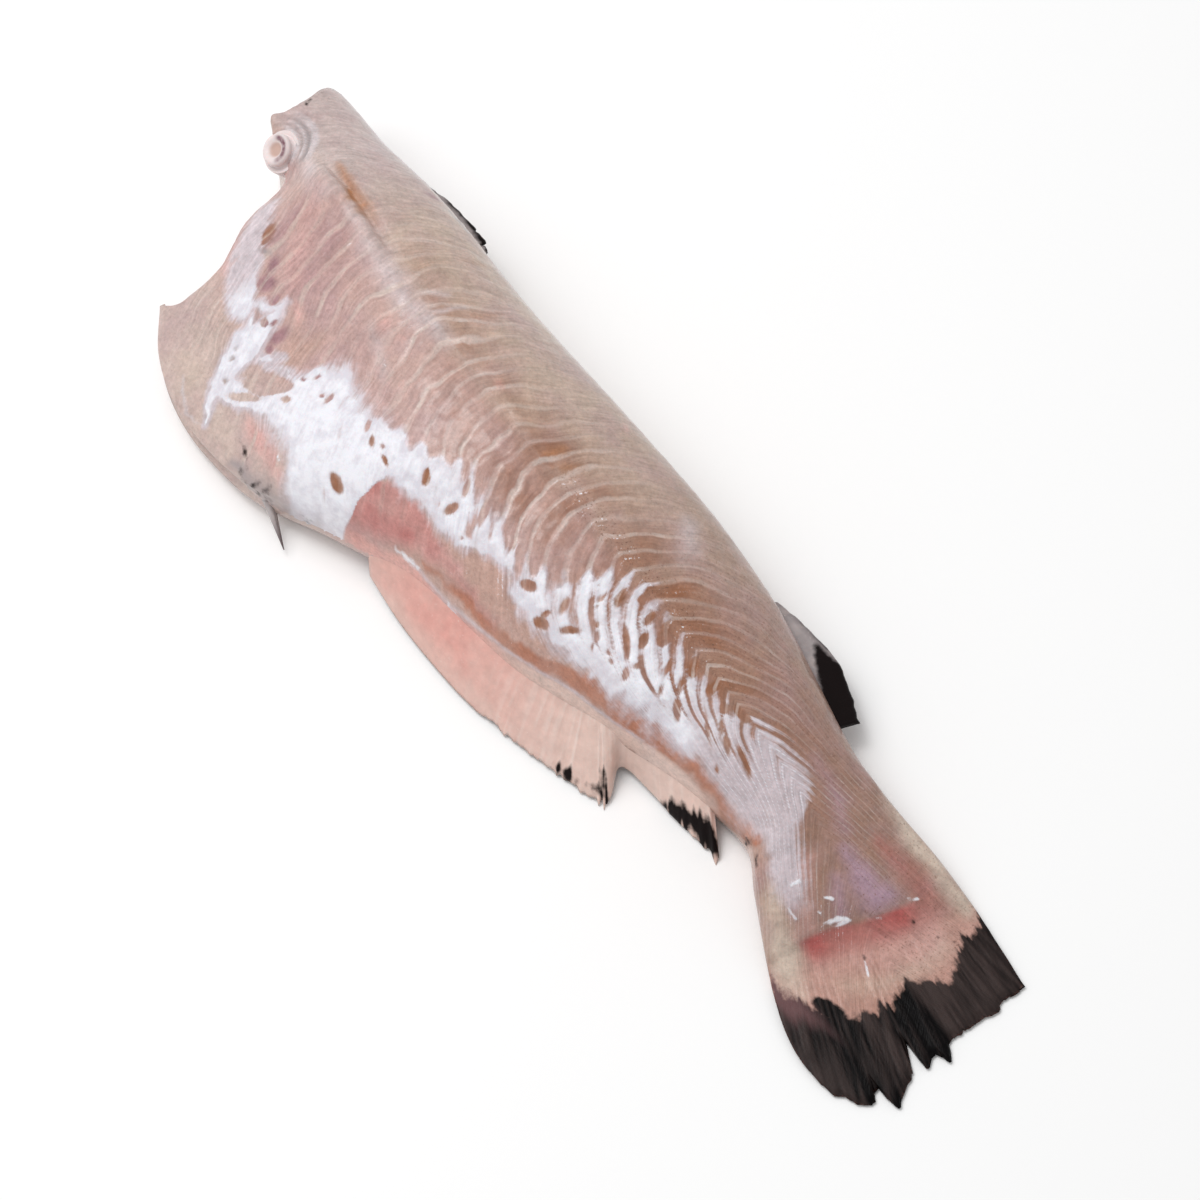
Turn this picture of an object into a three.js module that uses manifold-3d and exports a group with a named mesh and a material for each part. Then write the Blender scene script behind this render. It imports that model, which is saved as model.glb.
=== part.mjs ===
// Dressed catfish: head off, gutted and skinned, with its tail and fins left on.
// It lies on its right side as one solid. Millimetres, +Z up: the neck cut is at -X,
// the tail at +X and the back at +Y, and the underside is flat on z = 0.
import * as THREE from 'three';
import { LoftGeometry } from 'three/addons/geometries/LoftGeometry.js';
import { mergeVertices } from 'three/addons/utils/BufferGeometryUtils.js';
import Module from 'manifold-3d';

// Middle of the whole outline, which is moved to the origin
const CENTRE = [2.5, 0.35, 0];

// Outline of the body from above, as [x, y] stations along the fish
const BACK_EDGE = [
  [-158, 38], [-150, 40.4], [-128, 40], [-104, 41.4], [-62, 41], [-20, 43.2], [19, 44.8], [45, 43],
  [80, 36.7], [94, 36.3], [125, 38], [153, 35.3],
];
const LATERAL_LINE = [
  [-155, 16], [-114, 17.2], [-84, 13.9], [-40, 11.7], [-12, 12.6], [20, 14.7], [75, 17], [101, 15.5],
  [130, 11], [153, 10],
];
const BELLY_EDGE = [
  [-131, -34], [-119, -42.4], [-105, -47.2], [-89, -48.3], [-69, -45.2], [-49, -35.4], [-25, -26],
  [14, -19.7], [44, -9], [67, -1.8], [84, 0.4], [95, -5.3], [120, -17.2], [134, -20.9], [146, -19.3],
  [153, -14],
];

// Heights above the table, as [x, z]: top of the flank, and the rims at back and belly
const FLANK_TOP = [
  [-150, 33], [-135, 38.5], [-118, 43.3], [-90, 46], [-50, 46], [-20, 43], [10, 38], [40, 31], [88, 18.5],
  [104, 13], [112, 9], [118, 5], [124, 2.9], [153, 1.5],
];
const BACK_RIM = [[-157, 17], [-100, 22], [0, 19], [40, 14], [80, 9.5], [110, 6], [128, 2.2], [153, 0.7]];
const BELLY_RIM = [
  [-131, 8], [-90, 8], [-30, 11], [0, 13], [40, 11], [80, 8], [95, 6], [112, 2.4], [153, 0.7],
];

// Where the neck was cut, as [q, x]; q runs from -1 at the belly to 1 at the back
const NECK_CUT = [
  [-1, -131.4], [-0.85, -126.2], [-0.6, -125.8], [-0.44, -130.2], [-0.14, -133], [-0.04, -145],
  [0.04, -150.4], [0.2, -149.8], [0.52, -150.4], [0.85, -152.4], [1, -152],
];
const NECK_STATION = -150;
const CUT_RECESS = 5;
const NAPE_RECESS = 2;
const RECESS_ROUND = 4;

// Muscle blocks: the walls between them fold back from the lateral line to both edges
const FIRST_WALL = -113;
const LAST_WALL = 100;
const BLOCKS = 37;
const FRONT_BLOCK = 7.1;
const BACK_SWEEP = 15;
const BACK_BEND = 0.25;
const BELLY_SWEEP = 22;
const BELLY_BEND = 2.2;
const SWEEP_SHARE = [[-113, 1], [0, 0.9], [60, 0.7], [100, 0.3]];
const WALL_GROOVE = 0.5;
const LATERAL_GROOVE = 0.45;
const GROOVE_FADE = [0.7, 0.95];

// Roundness of the flank, and the share of its width that is pressed flat underneath
const DOME_POWER = 0.45;
const FLAT_SHARE = 0.72;
const UNDER_POWER = 1.8;

// Belly walls, emptied and lying one on the other, with the slit between them
const FLAP_SHARE = [[-110, 1], [-85, 0.9], [-50, 0.15], [-30, 0]];
const FLAP_LEFT = 0.24;
const FLAP_CURVE = 0.9;
const FLAP_ROUND = 8;
const SLIT_DEPTH = [[-131, 2.5], [-85, 3], [-55, 0]];

// Tail fan, from the slanted end of the flesh to its frayed rim
const FLESH_END = 118;
const FLESH_END_BACK = 8.5;
const FLESH_END_BELLY = -7;
const FAN_END = 153;
const FAN_RIM = [
  [-14, 153], [-11.4, 152.4], [-10, 147.6], [-8.6, 157], [-2.5, 153.6], [0.2, 150.8], [2.2, 143],
  [3.6, 153.2], [5.6, 151], [9, 155.4], [12.4, 149.6], [15, 151], [22.5, 150.6], [25.5, 152.2],
  [30, 150.2], [33, 150.8], [36, 150],
];
const RIM_ROUND = 0.8;
const FIN_RAY = 0.14;
const RAY_START_ROWS = 2;

// Mesh steps
const COLUMNS = 24;
const NECK_ROWS = 8;
const FLESH_END_ROWS = 5;
const FAN_ROWS = 6;
const CUT_FACE = [0, 0.55, 0.86];

// Fins, each a thin sheet from a root sunk in the flesh to a free rim, as [x, y, z] points
const ANAL_FIN = {
  root: [
    [-42, -27.5, 13.5], [-28, -22.5, 15.5], [-12, -19, 16.5], [4, -17, 16.5], [18, -14, 16], [29, -10.5, 15],
    [36, -8, 14.5], [42, -5.5, 14], [48, -3, 13], [56, 0, 12], [66, 3, 10],
  ],
  rim: [
    [-35.5, -31.5, 1.8], [-20, -32.8, 1.3], [-4, -32.6, 1.1], [10, -31.4, 1.1], [24, -28.4, 1],
    [38, -24.6, 1], [51.6, -19.4, 1], [46.6, -11, 2.6], [56.5, -8.6, 1.6], [66, -7.8, 1.2], [80.6, -5.2, 1],
  ],
  rootThick: 6,
  rimThick: 1,
  rays: 50,
  fray: 0.7,
};
const ADIPOSE = {
  root: [[34, 41, 14], [54, 37.5, 12], [72, 34.5, 10]],
  rim: [[37, 45.4, 14], [46, 47.4, 13], [58, 48.4, 11.5], [66, 46.6, 10], [74.6, 43.2, 9]],
  rootThick: 6,
  rimThick: 2,
  rays: 14,
  fray: 0.2,
};
const BACK_STRIP = {
  root: [[-119, 38, 21], [-103, 39, 21.5], [-85, 38, 22]],
  rim: [[-115, 42, 21], [-104, 44.3, 21.5], [-92, 44.4, 22], [-87, 43.2, 22]],
  rootThick: 4,
  rimThick: 1.6,
  rays: 10,
  fray: 0.4,
};
const FIN_STEPS = 4;
const FIN_ARCH = 0.08;

// Pelvic spine left on the belly edge
const SPINE_ROOT = [-69, -41, 8];
const SPINE_TIP = [-54.6, -45.4, 2.4];
const SPINE_RADIUS = 2.8;
const SPINE_SIDES = 10;

// Neck bone, bared at the cut: [radius, height] along its own axis
const BONE_CENTRE = [-140.6, 13.1, 31.5];
const BONE_AXIS = [-0.15, -0.59, 0.79];
const BONE_PROFILE = [
  [0, -12], [6, -12], [6, -2.4], [5.4, -1.4], [4.6, -1.6], [4.3, -0.6], [4.5, 0.5], [4.1, 1.4], [3.2, 1.7],
  [2.2, 1.2], [1.2, 0.6], [0, 0.5],
];
const BONE_SIDES = 24;
const BONE_DENT = 5;
const BONE_DENT_REACH = 9;

const FLESH = new THREE.MeshStandardMaterial({ color: 0xbfa39a, roughness: 0.42, metalness: 0 });

// Smooth curve through [x, value] stations, level beyond both ends
function along(stations) {
  const last = stations.length - 1;
  const slope = (i) => {
    const [xa, va] = stations[Math.max(i - 1, 0)];
    const [xb, vb] = stations[Math.min(i + 1, last)];
    return (vb - va) / (xb - xa);
  };
  return (x) => {
    if (x <= stations[0][0]) return stations[0][1];
    if (x >= stations[last][0]) return stations[last][1];
    const i = stations.findIndex((station) => station[0] > x) - 1;
    const [x0, v0] = stations[i];
    const [x1, v1] = stations[i + 1];
    const span = x1 - x0;
    const t = (x - x0) / span;
    const rise = v0 * (2 * t + 1) * (1 - t) ** 2 + v1 * (3 - 2 * t) * t ** 2;
    return rise + span * t * (1 - t) * (slope(i) * (1 - t) - slope(i + 1) * t);
  };
}

const backEdge = along(BACK_EDGE);
const lateralLine = along(LATERAL_LINE);
const bellyEdge = along(BELLY_EDGE);
const flankTop = along(FLANK_TOP);
const backRim = along(BACK_RIM);
const bellyRim = along(BELLY_RIM);
const neckCut = along(NECK_CUT);
const sweepShare = along(SWEEP_SHARE);
const flapShare = along(FLAP_SHARE);
const slitDepth = along(SLIT_DEPTH);

const { clamp, lerp, smoothstep } = THREE.MathUtils;

// x of the fan's rim at a given y: straight lines between the uneven ray ends and the bottoms of two slits
function fanRim(y) {
  const next = FAN_RIM.findIndex(([at]) => at >= y);
  const [[y0, x0], [y1, x1]] = FAN_RIM.slice(Math.max(next, 1) - 1);
  return lerp(x0, x1, clamp((y - y0) / (y1 - y0), 0, 1));
}

// Repeatable unevenness between -1 and 1 for the n-th ray of a fin
function uneven(n) {
  return Math.sin(n * 12.9 + 1.7) * Math.cos(n * 4.1);
}

// Where a muscle wall that starts at station s on the lateral line runs, across q
function wallX(s, q) {
  const fold = q > 0 ? BACK_SWEEP * q * lerp(1, q, BACK_BEND) : BELLY_SWEEP * Math.abs(q) ** BELLY_BEND;
  return s + fold * sweepShare(s);
}

function fleshEnd(q) {
  return FLESH_END + Math.abs(q) * (q > 0 ? FLESH_END_BACK : FLESH_END_BELLY);
}

// y of the point q across the fish, at a given x
function acrossY(x, q) {
  const middle = lateralLine(x);
  return q > 0 ? lerp(middle, backEdge(x), q) : lerp(middle, bellyEdge(x), -q);
}

// x of the row at station s: neck cut, then muscle walls, flesh end and fan rim
function rowX(s, q) {
  if (s < FIRST_WALL) {
    return lerp(neckCut(q), wallX(FIRST_WALL, q), (s - NECK_STATION) / (FIRST_WALL - NECK_STATION));
  }
  if (s <= LAST_WALL) return wallX(s, q);
  if (s <= FLESH_END) {
    return lerp(wallX(LAST_WALL, q), fleshEnd(q), (s - LAST_WALL) / (FLESH_END - LAST_WALL));
  }
  return lerp(fleshEnd(q), fanRim(acrossY(FAN_END, q)), (s - FLESH_END) / (FAN_END - FLESH_END));
}

// Columns crowd towards the edges on the round body and are even on the flat fan
function columnQ(s, j) {
  const even = (2 * j) / COLUMNS - 1;
  return lerp(-Math.cos((Math.PI * j) / COLUMNS), even, smoothstep(s, LAST_WALL, FLESH_END));
}

// Share of the flank height left at q: a round back, and a belly that thins to its flap
function dome(x, q) {
  const round = (1 - q * q) ** DOME_POWER;
  if (q > 0) return round;
  const fall = 0.5 + 0.5 * Math.cos(Math.PI * Math.abs(q) ** FLAP_CURVE);
  const flap = lerp(FLAP_LEFT * (1 - q ** FLAP_ROUND) ** 0.5, 1, fall);
  return lerp(round, flap, flapShare(x));
}

// Upper and lower point of the skinless flank at station s and column q
function flankPair(s, q, groove) {
  const x = rowX(s, q);
  const edge = 1 - smoothstep(Math.abs(q), ...GROOVE_FADE);
  const slit = q === -1 ? slitDepth(x) : 0;
  const y = acrossY(x, q) + slit;
  const rim = lerp(bellyRim(x), backRim(x), (q + 1) / 2);
  const fall = groove * edge + (Math.abs(q) < 1e-6 && s < LAST_WALL ? LATERAL_GROOVE : 0);
  const fromBone = Math.hypot(x - BONE_CENTRE[0], y - BONE_CENTRE[1]) / BONE_DENT_REACH;
  const dent = BONE_DENT * Math.exp(-(fromBone ** 2));
  const top = rim + (flankTop(s) - rim) * dome(x, q) - fall - dent;
  const lift = Math.max(0, 1 - (1 - q * q) ** 0.5 / FLAT_SHARE);
  return [new THREE.Vector3(x, y, top), new THREE.Vector3(x, y, rim * lift ** UNDER_POWER)];
}

// One closed ring round the fish, from the back over the flank to the belly and under it
function ring(s, { groove = 0, open = 1, shift = null } = {}) {
  const upper = [];
  const lower = [];
  for (let j = COLUMNS; j >= 0; j--) {
    const q = columnQ(s, j);
    const [top, bottom] = flankPair(s, q, groove);
    const middle = top.clone().add(bottom).multiplyScalar(0.5);
    const rim = j === 0 || j === COLUMNS;
    const move = shift ? shift(q) : 0;
    upper.push((rim ? bottom : middle.clone().lerp(top, open)).clone());
    lower.push(middle.clone().lerp(bottom, open));
    upper.at(-1).x += move;
    lower.at(-1).x += move;
  }
  return [...upper, ...lower.slice(1, -1).reverse()];
}

// Stations of the muscle walls, with one between each two for the crown of the block
function wallStations() {
  const shorten = (2 * ((LAST_WALL - FIRST_WALL) / BLOCKS - FRONT_BLOCK)) / BLOCKS;
  const place = (i) => FIRST_WALL + (FRONT_BLOCK + (shorten * i) / 4) * (i / 2);
  return Array.from({ length: 2 * BLOCKS }, (_, i) => place(i));
}

function bodyGeometry() {
  const rows = [];
  const depth = (q) => (q < 0 ? CUT_RECESS : NAPE_RECESS) * (1 - q ** RECESS_ROUND);
  const recess = (open) => (q) => depth(q) * (1 - open) ** 2;
  for (const open of CUT_FACE) rows.push(ring(NECK_STATION, { open, shift: recess(open) }));
  for (let i = 0; i < NECK_ROWS; i++) rows.push(ring(lerp(NECK_STATION, FIRST_WALL, i / NECK_ROWS)));
  wallStations().forEach((s, i) => rows.push(ring(s, { groove: i % 2 ? 0 : WALL_GROOVE })));
  for (let i = 0; i < FLESH_END_ROWS; i++) rows.push(ring(lerp(LAST_WALL, FLESH_END, i / FLESH_END_ROWS)));
  for (let i = 0; i <= FAN_ROWS; i++) {
    const s = lerp(FLESH_END, FAN_END, i / FAN_ROWS);
    const fan = ring(s);
    const ray = FIN_RAY * smoothstep(i, 0, RAY_START_ROWS);
    fan.forEach((point, j) => {
      if (j > 0 && j < COLUMNS) point.z += j % 2 ? ray : -ray;
    });
    rows.push(fan);
  }
  rows.push(ring(FAN_END, { open: 0, shift: () => RIM_ROUND }));
  return new LoftGeometry(rows, { closed: true });
}

// A fin: a tapering sheet lofted along its rays, with a frayed rim
function finGeometry({ root, rim, rootThick, rimThick, rays, fray }) {
  const curve = (points) => new THREE.CatmullRomCurve3(points.map((p) => new THREE.Vector3(...p)));
  const rootCurve = curve(root);
  const rimCurve = curve(rim);
  const sections = [];
  for (let i = 0; i <= rays; i++) {
    const from = rootCurve.getPoint(i / rays);
    const ray = rimCurve.getPoint(i / rays).sub(from);
    ray.setLength(ray.length() + fray * uneven(i));
    const across = new THREE.Vector3().crossVectors(rootCurve.getTangent(i / rays), ray).normalize();
    if (across.z < 0) across.negate();
    const upper = [];
    const lower = [];
    for (let k = 0; k <= FIN_STEPS; k++) {
      const v = k / FIN_STEPS;
      const half = lerp(rootThick, rimThick, Math.sqrt(v)) / 2 + (i % 2 && k ? FIN_RAY : 0);
      const middle = from.clone().addScaledVector(ray, v);
      middle.z -= ray.z * FIN_ARCH * Math.sin(Math.PI * v);
      upper.push(middle.clone().addScaledVector(across, half));
      lower.push(middle.clone().addScaledVector(across, -half));
    }
    const section = [...upper, ...lower.reverse()];
    sections.push(ray.y < 0 ? section : section.reverse());
  }
  return new LoftGeometry(sections, { closed: true, capStart: true, capEnd: true });
}

function spineGeometry() {
  const root = new THREE.Vector3(...SPINE_ROOT);
  const tip = new THREE.Vector3(...SPINE_TIP);
  const along = tip.clone().sub(root);
  const cone = new THREE.ConeGeometry(SPINE_RADIUS, along.length(), SPINE_SIDES);
  const turn = new THREE.Quaternion().setFromUnitVectors(new THREE.Vector3(0, 1, 0), along.normalize());
  return cone.applyQuaternion(turn).translate(...root.add(tip).multiplyScalar(0.5));
}

function boneGeometry() {
  const lathe = new THREE.LatheGeometry(BONE_PROFILE.map((p) => new THREE.Vector2(...p)), BONE_SIDES);
  const axis = new THREE.Vector3(...BONE_AXIS).normalize();
  const turn = new THREE.Quaternion().setFromUnitVectors(new THREE.Vector3(0, 1, 0), axis);
  return lathe.applyQuaternion(turn).translate(...BONE_CENTRE);
}

const wasm = await Module();
wasm.setup();

// Closed mesh as a solid: shared vertices merged and collapsed triangles dropped
function solid(geometry) {
  const bare = new THREE.BufferGeometry().setIndex(geometry.index);
  bare.setAttribute('position', geometry.attributes.position);
  const merged = mergeVertices(bare, 1e-4);
  const index = merged.index.array;
  const triangles = [];
  for (let i = 0; i < index.length; i += 3) {
    const [a, b, c] = index.slice(i, i + 3);
    if (a !== b && b !== c && c !== a) triangles.push(a, b, c);
  }
  const vertProperties = new Float32Array(merged.attributes.position.array);
  const triVerts = new Uint32Array(triangles);
  return new wasm.Manifold(new wasm.Mesh({ numProp: 3, vertProperties, triVerts }));
}

function meshOf(manifold, name, material) {
  const { vertProperties, triVerts } = manifold.getMesh();
  const geometry = new THREE.BufferGeometry();
  geometry.setAttribute('position', new THREE.BufferAttribute(new Float32Array(vertProperties), 3));
  geometry.setIndex(new THREE.BufferAttribute(new Uint32Array(triVerts), 1));
  geometry.computeVertexNormals();
  const mesh = new THREE.Mesh(geometry, material);
  mesh.name = name;
  return mesh;
}

const fins = [ANAL_FIN, ADIPOSE, BACK_STRIP].map(finGeometry);
const pieces = [bodyGeometry(), ...fins, spineGeometry(), boneGeometry()].map(solid);
const fish = pieces.reduce((whole, piece) => whole.add(piece));

const dressedCatfish = new THREE.Group();
dressedCatfish.add(meshOf(fish, 'dressed_catfish', FLESH));
dressedCatfish.position.set(...CENTRE).negate();

export default dressedCatfish;
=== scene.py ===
"""Looks of a dressed catfish, laid out as a Blender add-on and run as a script.

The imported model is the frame. Each operator makes one piece of the fish over it, in the frame's own axes:
the neck cut is at -X, the tail at +X, the back at +Y, and the left flank lies on top.
Sizes and places in this file are millimetres, and become metres where a mesh is placed.
"""
import math

import bmesh
import bpy
import numpy as np
from bpy.props import FloatProperty, FloatVectorProperty, PointerProperty
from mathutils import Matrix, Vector


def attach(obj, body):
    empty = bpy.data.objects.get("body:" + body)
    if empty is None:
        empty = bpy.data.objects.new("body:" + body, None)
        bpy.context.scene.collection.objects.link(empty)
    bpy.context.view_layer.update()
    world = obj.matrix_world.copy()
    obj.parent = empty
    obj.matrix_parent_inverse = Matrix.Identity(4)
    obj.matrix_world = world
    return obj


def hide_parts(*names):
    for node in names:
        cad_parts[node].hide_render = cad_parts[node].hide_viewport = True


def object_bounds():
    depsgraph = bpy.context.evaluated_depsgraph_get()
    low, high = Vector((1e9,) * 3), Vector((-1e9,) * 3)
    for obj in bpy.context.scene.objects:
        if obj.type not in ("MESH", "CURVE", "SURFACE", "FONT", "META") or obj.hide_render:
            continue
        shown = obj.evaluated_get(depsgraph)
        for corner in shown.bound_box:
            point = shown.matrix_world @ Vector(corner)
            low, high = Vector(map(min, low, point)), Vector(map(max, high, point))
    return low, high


bl_info = {
    "name": "Dressed catfish",
    "version": (1, 0, 0),
    "blender": (4, 5, 0),
    "location": "View3D > Sidebar > Catfish",
    "description": "Builds the flesh, fins, bone and stage of a headed, gutted and skinned catfish",
    "category": "Mesh",
}

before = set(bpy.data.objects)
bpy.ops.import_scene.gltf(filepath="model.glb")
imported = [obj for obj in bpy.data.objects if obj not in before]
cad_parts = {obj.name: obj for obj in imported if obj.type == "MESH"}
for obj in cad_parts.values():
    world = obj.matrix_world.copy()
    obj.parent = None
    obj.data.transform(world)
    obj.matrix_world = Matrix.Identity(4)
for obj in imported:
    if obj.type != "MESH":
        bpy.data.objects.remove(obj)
CAD_LOW, CAD_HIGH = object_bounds()

NODE = "dressed_catfish"
BODY = "root"
MM = 0.001

# Middle of the whole outline, which is moved to the origin
CENTRE = (2.5, 0.35, 0)

# Outline of the body from above, as (x, y) stations along the fish
BACK_EDGE = [(-158, 38), (-150, 40.4), (-128, 40), (-104, 41.4), (-62, 41), (-20, 43.2), (19, 44.8),
             (45, 43), (80, 36.7), (94, 36.3), (125, 38), (153, 35.3)]
LATERAL_LINE = [(-155, 16), (-114, 17.2), (-84, 13.9), (-40, 11.7), (-12, 12.6), (20, 14.7), (75, 17),
                (101, 15.5), (130, 11), (153, 10)]
BELLY_EDGE = [(-131, -34), (-119, -42.4), (-105, -47.2), (-89, -48.3), (-69, -45.2), (-49, -35.4),
              (-25, -26), (14, -19.7), (44, -9), (67, -1.8), (84, 0.4), (95, -5.3), (120, -17.2),
              (134, -20.9), (146, -19.3), (153, -14)]

# Heights above the table, as (x, z): top of the flank, and the rims at back and belly
FLANK_TOP = [(-150, 33), (-135, 38.5), (-118, 43.3), (-90, 46), (-50, 46), (-20, 43), (10, 38), (40, 31),
             (88, 18.5), (104, 13), (112, 9), (118, 5), (124, 2.9), (153, 1.5)]
BACK_RIM = [(-157, 17), (-100, 22), (0, 19), (40, 14), (80, 9.5), (110, 6), (128, 2.2), (153, 0.7)]
BELLY_RIM = [(-131, 8), (-90, 8), (-30, 11), (0, 13), (40, 11), (80, 8), (95, 6), (112, 2.4), (153, 0.7)]

# Where the neck was cut, as (q, x); q runs from -1 at the belly to 1 at the back
NECK_CUT = [(-1, -131.4), (-0.85, -126.2), (-0.6, -125.8), (-0.44, -130.2), (-0.14, -133), (-0.04, -145),
            (0.04, -150.4), (0.2, -149.8), (0.52, -150.4), (0.85, -152.4), (1, -152)]
NECK_STATION = -150
CUT_RECESS = 5
NAPE_RECESS = 2
RECESS_ROUND = 4
CUT_RINGS = 5

# Rows of the body lean back from the lateral line to both edges, as the muscle blocks do
FIRST_WALL = -113
LAST_WALL = 100
BLOCKS = 42
FRONT_BLOCK = 6.3
BACK_SWEEP = 15
BACK_BEND = 0.25
BELLY_SWEEP = 22
BELLY_BEND = 2.2
SWEEP_SHARE = [(-113, 1), (0, 0.9), (60, 0.7), (100, 0.3)]

# Roundness of the flank, and the share of its width that is pressed flat underneath
DOME_POWER = 0.45
FLAT_SHARE = 0.72
UNDER_POWER = 1.8

# Belly walls, emptied and lying one on the other, with the slit between them
FLAP_SHARE = [(-110, 1), (-85, 0.9), (-50, 0.15), (-30, 0)]
FLAP_LEFT = 0.24
FLAP_CURVE = 0.9
FLAP_ROUND = 8
SLIT_DEPTH = [(-131, 2.5), (-85, 3), (-55, 0)]
SLIT_LIPS = 0.985

# Tail fan, from the slanted end of the flesh to its frayed rim, as (x, y); its rays spread from one point
FLESH_END = 118
FLESH_END_BACK = 8.5
FLESH_END_BELLY = -7
FAN_END = 153
FAN_RIM = [(140.1, -20), (143, -19.8), (145.9, -19.2), (147.8, -17.2), (151, -16.3), (153.3, -13.3),
           (152.5, -11.9), (148.2, -10.2), (148.3, -9.7), (150.8, -9.8), (154.3, -9.8), (157.3, -9),
           (157.6, -8.3), (155.6, -6.1), (154.5, -3.9), (152.6, -0.6), (151.8, -0.2), (147.8, 1.1),
           (143.8, 2.9), (146.9, 2.8), (150.6, 2.6), (153.5, 2.7), (153.7, 3.6), (152.1, 4.7), (151.8, 6.5),
           (153.1, 7.6), (155.4, 8), (156.1, 8.7), (154.6, 9.6), (151.9, 11.2), (150.6, 12.5),
           (151.5, 13.1), (151.5, 17.5), (151.5, 22.8), (153, 26), (151.8, 27), (151, 29.2), (151.6, 32.5),
           (150.9, 35.3)]
FAN_EDGE = 4
RIM_ROUND = 0.8
RIM_FRAY = 0.4
FRAY_GRAIN = 0.5
RAY_ORIGIN = (31, 30)
RAY_REACH = 112
RAY_GRAIN = 0.75
RAY_LENGTH = 11
RAY_LIFT = 0.09
RAY_FINE = 0.6
RAY_FINER = 2

# Mesh steps of the body: rows along the fish and columns round it
CUT_ROWS = 14
NECK_ROWS = 54
FLANK_ROWS = 340
FAN_ROWS = 84
RIM_ROWS = 3
BELLY_COLUMNS = 98
BACK_COLUMNS = 62
UNDER_STEP = 4
JOIN = 1e-6

# How far the bared muscle walls lean back on the way to each edge, as (x, lean)
BACK_FOLD = [(-113, 17), (-20, 17), (20, 22), (40, 30), (60, 42), (80, 55), (100, 64)]
BELLY_FOLD = [(-113, 20), (-10, 22), (20, 34), (40, 48), (60, 58), (90, 70)]
BELLY_CURL = 0.7
WALL_WOBBLE = 0.34
WALL_WIDTH = 0.18
WALL_CORE = 0.06
WALL_RAGGED = 0.14
WALL_BREAKS = (-0.6, 0.5)
WALL_BROKEN = 0.25
WALL_RANGE = (0.5, 1.1)
WALL_DRAWS = 128
STALK_WALLS = (80, 95)
STALK_GAP = (1, 7)

# How plainly the walls and the red muscle between them show, as (x, share)
BACK_WALLS = [(-106, 0), (-92, 0.5), (-74, 0.75), (-40, 0.75), (-10, 0.75), (20, 0.7), (60, 0.7), (90, 0.6),
              (110, 0.3), (118, 0)]
BELLY_WALLS = [(-124, 0), (-116, 0.7), (-95, 0.85), (-80, 0.8), (-60, 0.85), (-40, 0.95), (-15, 1),
               (15, 0.9), (40, 0.75), (70, 0.6), (90, 0.6), (108, 0.4), (118, 0)]
BACK_RUSSET = [(-110, 0.05), (-90, 0.2), (-72, 0.5), (-45, 0.5), (-20, 0.7), (10, 0.8), (40, 0.8),
               (62, 0.62), (90, 0.35), (115, 0.15)]
BELLY_RUSSET = [(-100, 0.1), (-60, 0.2), (-30, 0.45), (-10, 0.65), (10, 0.65), (40, 0.78), (65, 0.55),
                (95, 0.25)]
RUSSET_REACH = {"back": (2, 20), "belly": (8, 24)}
RUSSET_RANGE = (0.5, 1.1)
RUSSET_AT_WALL = 0.6
WALL_REACH = (10, 27)
WALL_FADE = 0.9
CUT_WALLS = 0.7

# Fades between the regions of the flesh: along the fish, across it from the lateral line, or across by q
FLANK_FADE = (3, -5)
NAPE_ALONG = (-84, -128)
NAPE_ACROSS = (-2, 4)
FLAP_ALONG = (-42, -62)
FLAP_ACROSS = (-0.55, -0.8)
DUSK_BACK = -60
DUSK_BELLY = -20
DUSK_FULL = 92
DUSK_ACROSS = (-4, 6)
FAN_FADE = (1, 7)
WEB_FADE = (-1, 7)

# Mauve blocks of muscle at the front of the flank: where they start, are full and end, along and across
FRONT_BLOCKS = (-124, -114, -96, -84)
FRONT_ACROSS = (-28, -18, -7, -2)
FRONT_MAUVE = (0, 0.65)

# Silver membrane on the belly side, between a lower and an upper edge, as (x, y)
SILVER_TOP = [(-95, -32), (-88, -29), (-82, -24.5), (-79.5, -20), (-78, -15.5), (-74, -13), (-66, -12.6),
              (-60, -14.5), (-56, -14), (-50, -11.5), (-44, -12), (-38, -10), (-32, -7), (-28, -5.5),
              (-18, -5.5), (-8, -7), (0, -8), (4, -5.5), (9, -3), (12, 4), (16, 9), (22, 11), (30, 10.5),
              (40, 11), (48, 12), (56, 13), (63, 16.5), (70, 18.8), (78, 19.6), (84, 19), (87, 16),
              (89, 12), (92, 8.6), (96, 6.4), (101, 4.4), (105, 1)]
SILVER_LOW = [(-96, -38.5), (-88, -36), (-80, -32.6), (-74, -32.4), (-66, -34.2), (-61, -39.5),
              (-58, -41.4), (-54, -39), (-49, -36.4), (-44, -34), (-42.8, -30), (-42.4, -25),
              (-41.8, -20.4), (-40.4, -18.8), (-34, -18.2), (-24, -17.2), (-15, -16.2), (-10, -13.2),
              (-4, -11.6), (6, -11.4), (14, -11.5), (22, -10), (30, -8), (40, -5), (50, -2), (60, 0.8),
              (70, 2.2), (80, 3.2), (88, 4), (94, 1), (100, -1.6), (105, -0.4)]
SILVER_FINGERS = [(-92, 0), (-70, 0.6), (-45, 1), (-30, 2.2), (-10, 2.5), (5, 2.5), (25, 3), (60, 2.5),
                  (72, 2), (90, 1.6)]
SILVER_SOFT = [(-135, 1.2), (-112, 0.6), (-100, 0.4), (-82, 0.5), (-74, 1.8), (-58, 1.8), (-47, 0.5),
               (-39, 0.5), (-30, 0.9), (20, 0.8), (60, 0.9), (76, 0.9), (90, 1), (104, 1.4)]
SILVER_BRIGHT = [(-135, -0.4), (-119, -0.2), (-112, 0.6), (-104, 1), (-80, 1), (-50, 1.1), (-38, 0.8),
                 (-20, 0.95), (-8, 0.75), (5, 0.65), (15, 0.78), (35, 0.78), (50, 0.68), (58, 0.6),
                 (66, 0.3), (74, 0.15), (84, 0.1), (95, 0), (104, -0.2)]
SILVER_ENDS = (-96, 104)
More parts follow.
